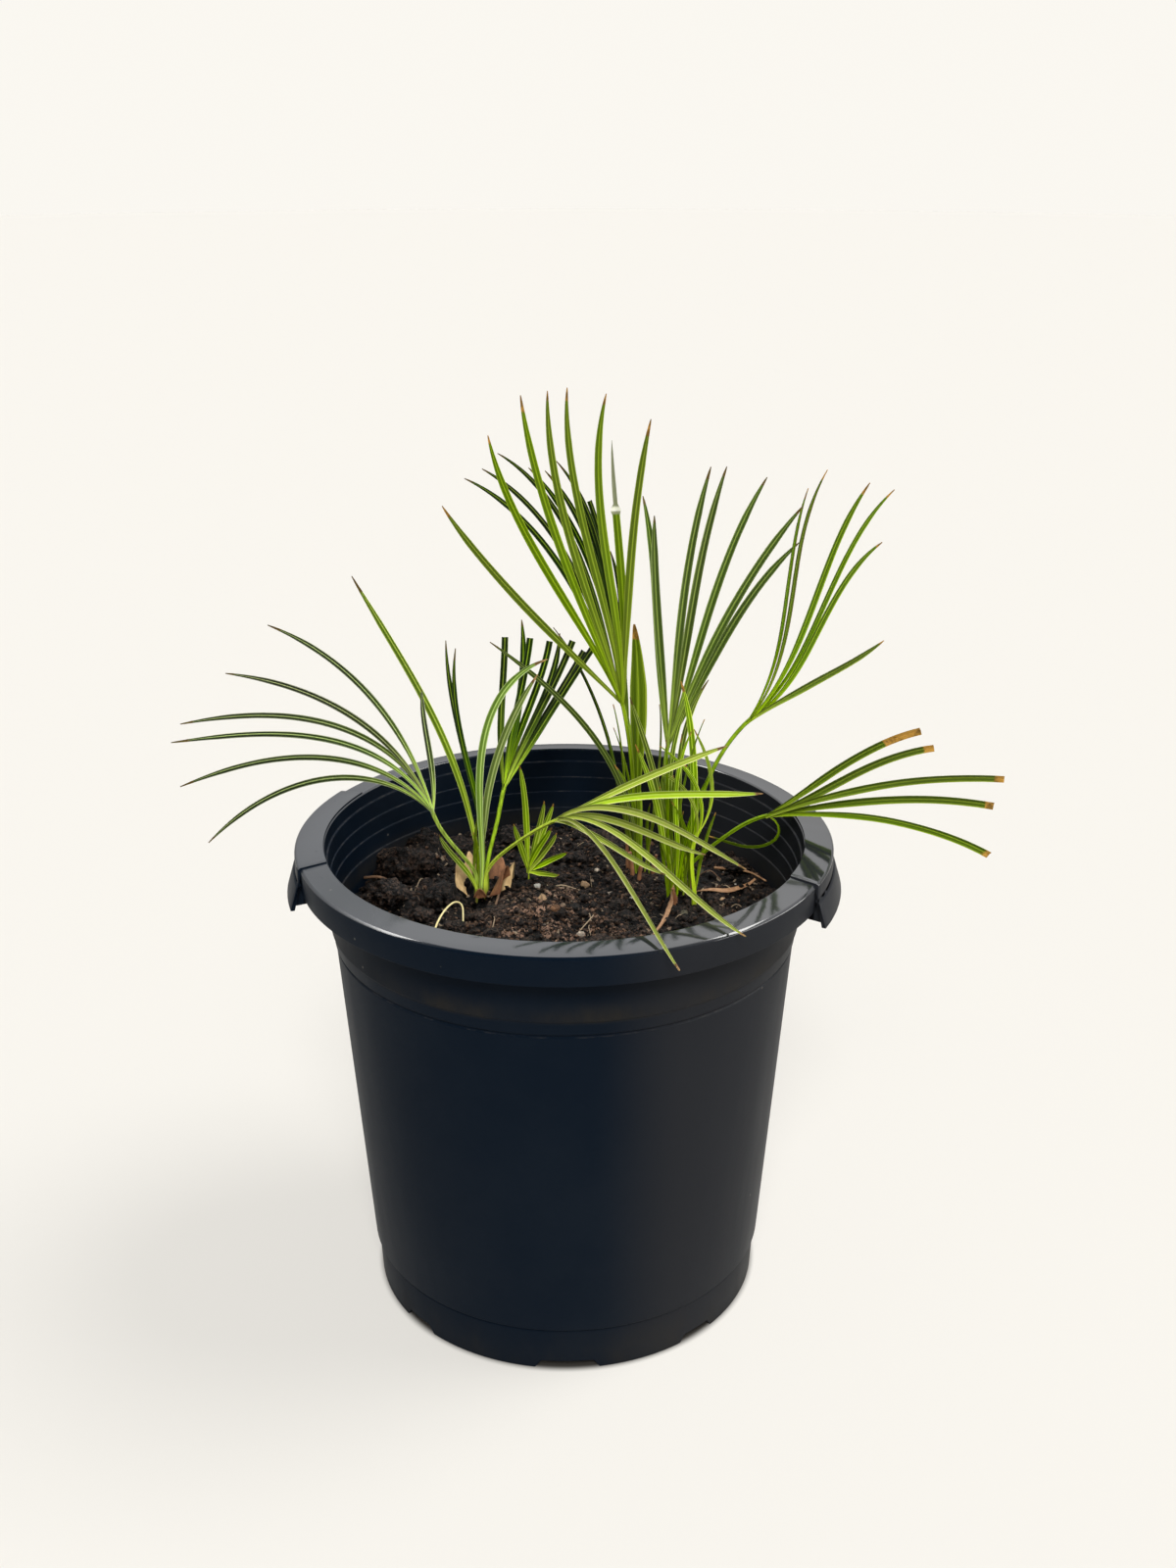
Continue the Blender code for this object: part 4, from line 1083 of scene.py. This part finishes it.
def build_crumbs():
    """Everything loose on the soil, from the big lumps to the grit."""
    dark = soil_material("crumb_look", (0.0012, 0.0009, 0.0008, 1), (0.080, 0.052, 0.038, 1), 1100.0)
    brown = soil_material("bark_look", (0.014, 0.008, 0.005, 1), (0.22, 0.125, 0.078, 1), 900.0)
    pale = soil_material("pale_chip_look", (0.20, 0.14, 0.095, 1), (0.50, 0.39, 0.28, 1), 700.0)
    white = soil_material("perlite_look", (0.45, 0.42, 0.37, 1), (0.80, 0.76, 0.70, 1), 900.0)
    build_clods(dark)
    scatter("soil_crumbs_fine", 4200, (0.4, 1.3), 0.8, 1, dark, 11)
    scatter("soil_crumbs_middle", 1500, (0.9, 2.3), 0.8, 2, dark, 12)
    scatter("soil_crumbs_coarse", 190, (2.0, 4.6), 0.75, 3, dark, 17)
    scatter("bark_bits", 1500, (0.4, 1.6), 0.6, 1, brown, 13)
    scatter("mound_bits", 1900, (0.4, 1.5), 0.8, 1, brown, 14, MOUND_MIDDLES)
    scatter("pale_chips", 60, (0.5, 1.5), 0.7, 2, pale, 15)
    scatter("perlite", 34, (0.3, 0.8), 0.9, 1, white, 16)
    build_pebbles()
    build_twigs()


def fan_axes(turn, tilt):
    """A fan's plane: across it, up it, and square to it."""
    yaw, back = math.radians(turn), math.radians(tilt)
    across = Vector((math.cos(yaw), math.sin(yaw), 0))
    up = Vector((-math.sin(yaw) * math.sin(back), math.cos(yaw) * math.sin(back), math.cos(back)))
    return across, up, across.cross(up)


def lean_at(leans, share):
    """The lean part way along a leaflet, on a parabola through the three given."""
    root, middle, tip = leans
    return root + (4 * middle - 3 * root - tip) * share + 2 * (root + tip - 2 * middle) * share ** 2


def eased(share):
    share = max(0.0, min(1.0, share))
    return share * share * (3.0 - 2.0 * share)


class LeafMesh:
    """Collects the points, faces and point colours of one leaf."""

    def __init__(self):
        self.points = []
        self.faces = []
        self.places = []
        self.marks = []

    def skin(self, rings, places, marks):
        """Join rings of points into a closed tube, with two colours for each point."""
        self.faces += tube_faces(len(self.points), len(rings), len(rings[0]))
        for ring, place_row, mark_row in zip(rings, places, marks):
            self.points += ring
            self.places += place_row
            self.marks += mark_row

    def make(self, title, look):
        made = from_lists(title, self.points, self.faces, look)
        mesh = made.data
        for name, rows in (("leaf", self.places), ("leaf_marks", self.marks)):
            layer = mesh.color_attributes.new(name, "FLOAT_COLOR", "POINT")
            for item, colour in zip(layer.data, rows):
                item.color = colour
        bm = bmesh.new()
        bm.from_mesh(mesh)
        bmesh.ops.recalc_face_normals(bm, faces=bm.faces)
        bm.to_mesh(mesh)
        bm.free()
        smooth(made, 40.0)
        return made


class Blade:
    """One leaflet's section and point colours, by the share of its length from root to tip."""

    def __init__(self, half, length, draw, trimmed=False, pleats=0, dry=None, browned=0.0, snapped=None,
                 flip=1):
        self.half = half
        self.cuts = max(12, int(length / 3.0))
        self.trimmed = trimmed
        self.pleats = pleats
        self.browned = browned
        self.snapped = snapped
        self.flip = flip
        self.chance = draw.random()
        self.shade = draw.random()
        self.phase = draw.uniform(0, math.tau)
        self.dry = dry
        if dry is None:
            self.dry = 1.1 if trimmed else draw.uniform(0.955, 0.985)
        self.columns = FLAT_ACROSS
        if pleats:
            self.columns = tuple(-1.0 + 2.0 * step / (4 * pleats) for step in range(4 * pleats + 1))

    def at_snap(self, share):
        return bool(self.snapped) and abs(share - self.snapped) < 0.6 / self.cuts

    def breadth(self, share):
        """Width against the widest: full beyond its root, then narrowing to a point or cut square."""
        if self.pleats:
            opening = 0.30 + 0.70 * eased((share - 0.30) / 0.38)
            return opening * min(1.0, 0.12 + 2.6 * (1.0 - share) ** 0.75)
        rise = 0.44 + 0.56 * eased(share / 0.45)
        if self.trimmed:
            return rise * (1.0 - 0.10 * share)
        narrowing = 1.0 - 0.22 * eased((share - 0.5) / 0.45)
        return rise * narrowing * min(1.0, 0.13 + 0.9 * ((1.0 - share) / 0.17) ** 0.68)

    def width(self, share):
        wide = max(0.24, self.half * self.breadth(share))
        if self.snapped and share > self.snapped:
            wide *= 0.62 if share < 0.96 else 0.4
        if self.at_snap(share):
            wide *= 1.5
        return wide

    def lift(self, place, wide, share):
        """How far the blade rises off its middle: folded with a slight wave, or pleated."""
        if self.pleats:
            ridge = abs((place * self.pleats * 0.5 + 0.25) % 1.0 - 0.5) * 2.0
            return 0.30 * wide * abs(place) + 0.62 * ridge * min(1.0, wide / 2.0)
        fold = 0.72 - 0.30 * eased(share / 0.6)
        wave = 0.10 * math.sin(15.0 * share + self.phase) * min(1.0, 4 * share)
        return wide * fold * abs(place) ** 1.15 + wave * place * place

    def section(self, middle, side, face, share):
        """A ring of points across the blade, its edges thin and a rib under its middle."""
        wide = self.width(share)
        twist = 0.14 * math.sin(2.4 * share + self.phase)
        thick = 0.26 + 0.30 * (1.0 - share)
        tilted = side * math.cos(twist) + face * math.sin(twist)
        out = face * math.cos(twist) - side * math.sin(twist)
        top, under = [], []
        for place in self.columns:
            spot = middle + tilted * (wide * place) + out * self.lift(place, wide, share)
            top.append(spot)
            rib = 0.20 if not self.pleats and abs(place) < 0.1 else 0.0
            under.append(spot - out * (thick * (1.0 - 0.74 * abs(place)) + rib))
        return top + under[::-1]

    def places(self, share):
        """Point colours: share along, share across, the leaflet's own chance, and 0 for a blade."""
        tones = [(share, (1 + self.flip * place) / 2, self.chance, 0.0) for place in self.columns]
        return tones + tones[::-1]

    def marks(self, share):
        """Point colours: how dead, how browned at its edges, how shaded, and how papery or white."""
        dead = eased((share - self.dry + 0.035) / 0.05)
        pale = 0.0
        if self.snapped:
            dead = 0.0
            pale = 1.0 if self.at_snap(share) else 0.5 * eased((share - self.snapped) / 0.01)
        return [(dead, self.browned, self.shade, pale)] * (2 * len(self.columns))


def add_leaflet(leaf, blade, origin, axes, leans, length, lift=0.0, in_fan=True):
    """Bend a blade along its leans from its origin, where it is sunk a little into what bears it."""
    across, up, face = axes
    start = math.radians(leans[0] if in_fan else 0)
    sink = NECK_SINK if in_fan else ROOT_SINK
    middle = origin - (across * math.sin(start) + up * math.cos(start)) * sink
    steps = blade.cuts * FINE_STEPS
    rings, places, marks = [], [], []
    for step in range(steps + 1):
        share = step / steps
        lean = math.radians(lean_at(leans, share))
        ahead = across * math.sin(lean) + up * math.cos(lean)
        side = across * math.cos(lean) - up * math.sin(lean)
        if step % FINE_STEPS == 0:
            rings.append(blade.section(middle, side, face, share))
            places.append(blade.places(share))
            marks.append(blade.marks(share))
        middle = middle + (ahead + LAYER_AXIS * lift) * ((length + sink) / steps)
    leaf.skin(rings, places, marks)


def bezier(first, second, third, fourth, share):
    rest = 1.0 - share
    return (first * rest ** 3 + second * (3 * rest * rest * share) + third * (3 * rest * share * share)
            + fourth * share ** 3)


def stem_path(foot, neck, ahead):
    """Straight in the soil, then one bend to the neck. A leaf without a neck stops at the soil."""
    bottom = Vector((*foot, STEM_BOTTOM_Z))
    collar = Vector((*foot, STEM_COLLAR_Z))
    path = [bottom.lerp(collar, share) for share in (0.0, 0.7, 0.8, 0.9, 1.0)]
    reach = (neck - collar).length
    if reach > SHORT_REACH:
        steps = max(8, int(reach / 2.5))
        rise = collar + Vector((0, 0, 0.18 * reach))
        lead = neck - ahead * (0.4 * reach)
        path += [bezier(collar, rise, lead, neck, (step + 1) / steps) for step in range(steps)]
        path.append(neck + ahead * 2.5)
    return path, reach <= SHORT_REACH


def add_petiole(leaf, foot, neck, ahead):
    """A half-round stem with a channel in its face."""
    path, short = stem_path(foot, neck, ahead)
    rings, places, marks = [], [], []
    for index, point in enumerate(path):
        along = heading(path, index)
        side = Vector((1, 0, 0)) - along * along.x
        side.normalize()
        front = side.cross(along)
        size = STEM_HALF * (1.0 + 0.35 * eased((226.0 - point.z) / 14.0))
        if short:
            size = STEM_HALF * (1.0 - 0.75 * eased((point.z - 206.0) / 16.0))
        ring = []
        for corner in range(STEM_CORNERS):
            turn = math.tau * corner / STEM_CORNERS
            x, y = math.cos(turn), math.sin(turn)
            dent = 0.35 * math.exp(-((turn - 0.5 * math.pi) / 0.45) ** 2)
            ring.append(point + side * (size * x) + front * (0.81 * size * (y - dent)))
        rings.append(ring)
        height = max(0.0, min(1.0, (point.z - 214.0) / 60.0))
        places.append([(height, corner / STEM_CORNERS, 0.5, 1.0) for corner in range(STEM_CORNERS)])
        marks.append([(0.0, 0.0, 0.5, 0.0)] * STEM_CORNERS)
    leaf.skin(rings, places, marks)


def gather(leaf, foot):
    """Draw a stem in towards the middle of its plant just over the soil, where the leaf bases clasp."""
    middle = min(CLUMPS, key=lambda spot: math.dist(spot, foot))
    pull = Vector((middle[0] - foot[0], middle[1] - foot[1], 0)) * CLUMP_PULL
    if pull.length > 12.0:
        return
    for index, point in enumerate(leaf.points):
        share = eased((point.z - 205.0) / 8.0) * (1.0 - eased((point.z - 221.0) / 38.0))
        leaf.points[index] = point + pull * share


def build_leaf(title, fan, look, draw):
    """One leaf from its entry in the table: the stem, then a blade for each leaflet."""
    foot, tilt, leaflets = fan["foot"], fan.get("tilt", 0), fan["leaflets"]
    in_fan = "neck" in fan
    neck = Vector(fan["neck"]) if in_fan else Vector((*foot, STEM_COLLAR_Z))
    origin = neck if in_fan else Vector((*foot, BARE_LEAF_Z))
    ahead = Vector((0, 0, 1))
    if in_fan:
        across, up, _ = fan_axes(fan["turn"], tilt)
        mean = math.radians(sum(item[0] for item in leaflets) / len(leaflets))
        ahead = across * math.sin(mean) + up * math.cos(mean)
    leaf = LeafMesh()
    add_petiole(leaf, foot, neck, ahead)
    widths = fan.get("widths", (1.0,) * len(leaflets))
    for index, item in enumerate(leaflets):
        values = [value for value in item if value != CUT]
        axes = fan_axes(values[4] if len(values) > 4 else fan["turn"], tilt)
        layer = index % 3 - 1 if len(leaflets) > 2 else index
        blade = Blade(fan["half"] * widths[index], values[3], draw, CUT in item, fan.get("pleats", 0),
                      fan.get("dry", {}).get(index), 1.0 if index in fan.get("brown_edges", ()) else 0.0,
                      fan.get("snapped", {}).get(index), fan.get("flip", 1))
        start = origin + axes[2] * (PLEAT_STEP * layer)
        add_leaflet(leaf, blade, start, axes, values[:3], values[3], LAYER_LIFT * layer, in_fan)
    gather(leaf, foot)
    dress(leaf.make(f"{title}_blades", look), title)


def build_leaves(looks):
    """Every leaf of the table, in its order, since all of them share one draw."""
    leaves = dict(FANS)
    for title, *values in SINGLE_LEAVES:
        leaves[title] = dict(zip(SINGLE_KEYS, values), pleats=PLEATS.get(title, 0))
    draw = random.Random(5)
    for title, fan in leaves.items():
        build_leaf(title, fan, looks[fan["look"]], draw)


def build_young_leaves(look):
    """Thin young blades that crowd each plant's base, by a seeded draw, in one piece for each plant."""
    for title, middle, reach, count, heights, leans in YOUNG_LEAVES:
        draw = random.Random(len(title) + count)
        leaf = LeafMesh()
        for _ in range(count):
            turn = draw.uniform(0, math.tau)
            away = reach * math.sqrt(draw.random())
            x, y = middle[0] + away * math.cos(turn), middle[1] + away * math.sin(turn)
            axes = fan_axes(draw.uniform(-50, 50), draw.uniform(-8, 8))
            lean = draw.uniform(*leans)
            curl = draw.uniform(-18, 26) * (1 if lean > 0 else -1)
            length = draw.uniform(*heights)
            blade = Blade(draw.uniform(0.7, 1.15), length, draw)
            add_leaflet(leaf, blade, Vector((x, y, YOUNG_LEAF_Z)), axes, (0.35 * lean, lean, lean + curl),
                        length, in_fan=True)
        dress(leaf.make(title, look))


def leaf_looks():
    looks = {}
    for name, colours in LEAF_COLOURS.items():
        looks[name] = leaf_material(f"leaf_{name}_look", *[colour + (1,) for colour in colours])
    return looks


def build_strip(title, node, points, half, look, twist, seed):
    """A dead leaf lying on the soil: a thin folded strip that twists a little, ragged at its edges."""
    path = smooth_path(on_soil(points, 1.1, soil_height), 8)
    rings, places = [], []
    for index, spot in enumerate(path):
        share = index / (len(path) - 1)
        along = heading(path, index)
        side = along.cross(Vector((0, 0, 1))).normalized()
        up = side.cross(along)
        roll = twist * math.sin(4.0 * share + seed)
        tilted = side * math.cos(roll) + up * math.sin(roll)
        out = up * math.cos(roll) - side * math.sin(roll)
        wide = half * (0.35 + 0.65 * math.sin(math.pi * min(0.92, 0.10 + share)))
        wide *= 1.0 + 0.12 * noise.noise(spot / 3.0)
        top = []
        for place in FLAT_ACROSS:
            ragged = 0.25 * noise.noise(spot / 4.0 + Vector((place, seed, 0)))
            top.append(spot + tilted * (wide * place) + out * (wide * 0.45 * abs(place) + ragged))
        rings.append(top + [point - out * 0.35 for point in top[::-1]])
        tones = [(share, (place + 1) / 2, 0.5, 0.0) for place in FLAT_ACROSS]
        places.append(tones + tones[::-1])
    leaf = LeafMesh()
    leaf.skin(rings, places, places)
    dress(leaf.make(title, look), node)


def husk_point(index, scale, across, share):
    """A place on a husk scale by its shares across and up. It narrows, flares and is torn at its top."""
    first, last, height, low, high, _ = scale
    peak = 1.0 - abs(2 * across - 1.0) ** 1.8 * 0.75
    turn = first + (last - first) * (0.5 + (across - 0.5) * (1.0 - 0.35 * share))
    radius = low + (high - low) * share ** 1.4 + 0.5 * noise.noise(Vector((across * 5, share * 3, index)))
    spot = polar(radius, turn, 0) + Vector((*HUSK_PLACE, 0))
    ground = soil_height(spot.x, spot.y) - HUSK_SINK
    return spot.x, spot.y, ground + (height + HUSK_SINK) * share * peak


def husk_scale(title, index, scale):
    """One curved scale as a thin shell."""
    bm = bmesh.new()
    grid = [[bm.verts.new(husk_point(index, scale, step / HUSK_STEPS, row / HUSK_ROWS))
             for step in range(HUSK_STEPS + 1)] for row in range(HUSK_ROWS + 1)]
    for under, over in zip(grid, grid[1:]):
        for step in range(HUSK_STEPS):
            bm.faces.new((under[step], under[step + 1], over[step + 1], over[step]))
    made = from_bmesh(title, bm)
    shell = made.modifiers.new("Thickness", "SOLIDIFY")
    shell.thickness = 0.45 * MM
    shell.offset = 0
    finer = made.modifiers.new("Finer", "SUBSURF")
    finer.levels = 1
    finer.render_levels = 1
    bake(made)
    smooth(made, 60.0)
    made.data.materials.clear()
    return made


def build_husk(pale, red):
    """The dry leaf bases that clasp the left plant, as scales round its middle."""
    for index, scale in enumerate(HUSK_SCALES):
        made = husk_scale(f"husk_scale_{index}", index, scale)
        made.data.materials.append(pale if scale[-1] == "pale" else red)
        dress(made, None if index else "husk_left")


def add_stalk(title, node, path, radius, corners, knobs, look, slot):
    """A round stalk in a node's place."""
    pile = Pile()
    pile.add_tube(path, radius, corners, knobs)
    pile.make(title, look, slot, node)


def build_stubs(look):
    """Short dead stubs round the feet of the right plants."""
    pile = Pile()
    for index, (x, y, height, lean) in enumerate(OLD_STUBS):
        spots = [Vector((x, y, 210.0)), Vector((x, y, 218.0)), Vector((x + lean, y - 1.0, 218.0 + height))]
        pile.add_tube(smooth_path(spots, 5), 1.5, 8, 0.4, float(index))
    pile.make("old_leaf_stubs", look, "dry_leaf")


def build_litter():
    """Dead leaves, the pale root loop, the husk and the old stubs."""
    straw = dry_material("dry_leaf_look", (0.46, 0.27, 0.14, 1), (0.15, 0.065, 0.030, 1), 500.0)
    red = dry_material("dry_sheath_look", (0.40, 0.185, 0.085, 1), (0.11, 0.042, 0.022, 1), 500.0)
    pale = dry_material("dry_husk_look", (0.74, 0.55, 0.28, 1), (0.34, 0.19, 0.08, 1), 400.0)
    root = dry_material("root_look", (0.80, 0.72, 0.38, 1), (0.55, 0.46, 0.20, 1), 300.0)
    build_strip("dry_leaf_front_blade", "dry_leaf_front", FRONT_LEAF_ROUTE, 1.25, straw, 0.7, 0.4)
    build_strip("dry_leaf_side_blade", "dry_leaf_side", SIDE_LEAF_ROUTE, 1.5, straw, 0.5, 2.2)
    stalk_path = smooth_path(on_soil(STALK_ROUTE, 0.9, soil_height), 8)
    add_stalk("dry_stalk_tube", "dry_stalk", stalk_path, 0.8, 8, 0.15, straw, "dry_leaf")
    root_path = smooth_path(on_soil(ROOT_ROUTE, 0.0, soil_height), 10)
    add_stalk("root_loop_tube", "root_loop", root_path, 0.60, 12, 0.10, root, "pale_root")
    build_husk(pale, red)
    build_stubs(red)


def paper_material():
    """Pale paper with a painted shadow under the pot, so that the notches in its foot open on shade."""
    n = new_material("paper")
    # Painted shadow: the paper turns dark and stops glowing under the pot's foot.
    clear = n.ease(n.vector("LENGTH", n.place()), 0.1035, 0.1095)
    n.set(Base_Color=n.mix(clear, (0.05, 0.047, 0.042, 1), (0.318, 0.311, 0.294, 1)), Roughness=0.95,
          Specular_IOR_Level=0.0, Emission_Color=(1.0, 0.975, 0.925, 1),
          Emission_Strength=n.times(clear, 0.49))
    return n.owner


def stage_piece(title, bm, look):
    """Turn a bmesh in metres into an object of the stage."""
    made = from_bmesh(title, bm, 1.0, bpy.context.scene.collection)
    made.data.materials.append(look)
    return made


def add_dome(title, radius):
    """A sphere seen from within that shows its own light and lights only what is glossy."""
    bm = bmesh.new()
    bmesh.ops.create_uvsphere(bm, u_segments=48, v_segments=24, radius=radius)
    bmesh.ops.reverse_faces(bm, faces=bm.faces)
    n = new_material(title)
    n.set(Base_Color=(0, 0, 0, 1), Specular_IOR_Level=0.0, Emission_Strength=1.0)
    dome = stage_piece(title, bm, n.owner)
    dome.visible_diffuse = False
    dome.visible_transmission = False
    dome.visible_shadow = False
    return dome, n


def build_stage():
    """A pale paper floor, a pale dome that only the camera sees, and a bright one that only gloss mirrors."""
    bm = bmesh.new()
    bmesh.ops.create_circle(bm, cap_ends=True, segments=96, radius=FLOOR_R)
    floor = stage_piece("floor", bm, paper_material())

    backdrop, n = add_dome("dome", DOME_R)
    n.set(Emission_Color=(0.960, 0.934, 0.878, 1))
    backdrop.visible_glossy = False

    glow, n = add_dome("glow", GLOW_R)
    glow.visible_camera = False
    _, y, z = n.parts(n.place(), "XYZ")
    levels = [(height, (level, level, level, 1)) for height, level in GLOW_LEVELS]
    n.set(Emission_Color=n.ramp(n.ease(z, 0.0, GLOW_R, kind="LINEAR"), levels),
          Emission_Strength=n.ease(y, -2.5, 2.5, kind="LINEAR"))


def add_light(title, kind, place, aim, energy):
    data = bpy.data.lights.new(title, kind)
    data.energy = energy
    data.color = LAMP_COLOUR
    lamp = bpy.data.objects.new(title, data)
    lamp.location = place
    lamp.rotation_euler = (Vector(aim) - Vector(place)).to_track_quat("-Z", "Y").to_euler()
    bpy.context.scene.collection.objects.link(lamp)
    return lamp


def build_light():
    """Soft light from all round, stronger from the right, a broad key and fill, and panels for the gloss."""
    world = bpy.data.worlds.new("studio")
    n = Nodes(world, "Background")
    lean = n.vector("DOT_PRODUCT", n.add("TexCoord").outputs["Generated"], WORLD_LEAN)
    n.set(Color=(1.0, 0.985, 0.955, 1), Strength=n.plus(lean, WORLD_LEVEL))
    bpy.context.scene.world = world

    key = add_light("key", "SUN", KEY_FROM, (0, 0, 0), KEY_ENERGY)
    key.data.angle = math.radians(KEY_ANGLE)
    fill = add_light("fill", "SUN", FILL_FROM, (0, 0, 0), FILL_ENERGY)
    fill.data.angle = math.radians(FILL_ANGLE)
    fill.visible_glossy = False
    for title, spot, size, energy in PANELS:
        panel = add_light(title, "AREA", spot, (0, 0, 0.2), energy)
        panel.data.shape = "RECTANGLE"
        panel.data.size, panel.data.size_y = size
        panel.visible_diffuse = False


def add_camera():
    data = bpy.data.cameras.new("camera")
    data.lens = LENS
    data.sensor_width = 36.0
    data.clip_start = 0.01
    made = bpy.data.objects.new("camera", data)
    made.location = CAMERA_AT
    made.rotation_euler = (math.radians(90.0 - CAMERA_DOWN), 0.0, -math.radians(CAMERA_TURN))
    bpy.context.scene.collection.objects.link(made)
    bpy.context.scene.camera = made


def main():
    bpy.context.scene.view_settings.view_transform = "Standard"
    add_camera()
    build_stage()
    build_light()
    build_pot()
    build_soil()
    build_crumbs()
    looks = leaf_looks()
    build_leaves(looks)
    build_young_leaves(looks["bright"])
    build_litter()


main()
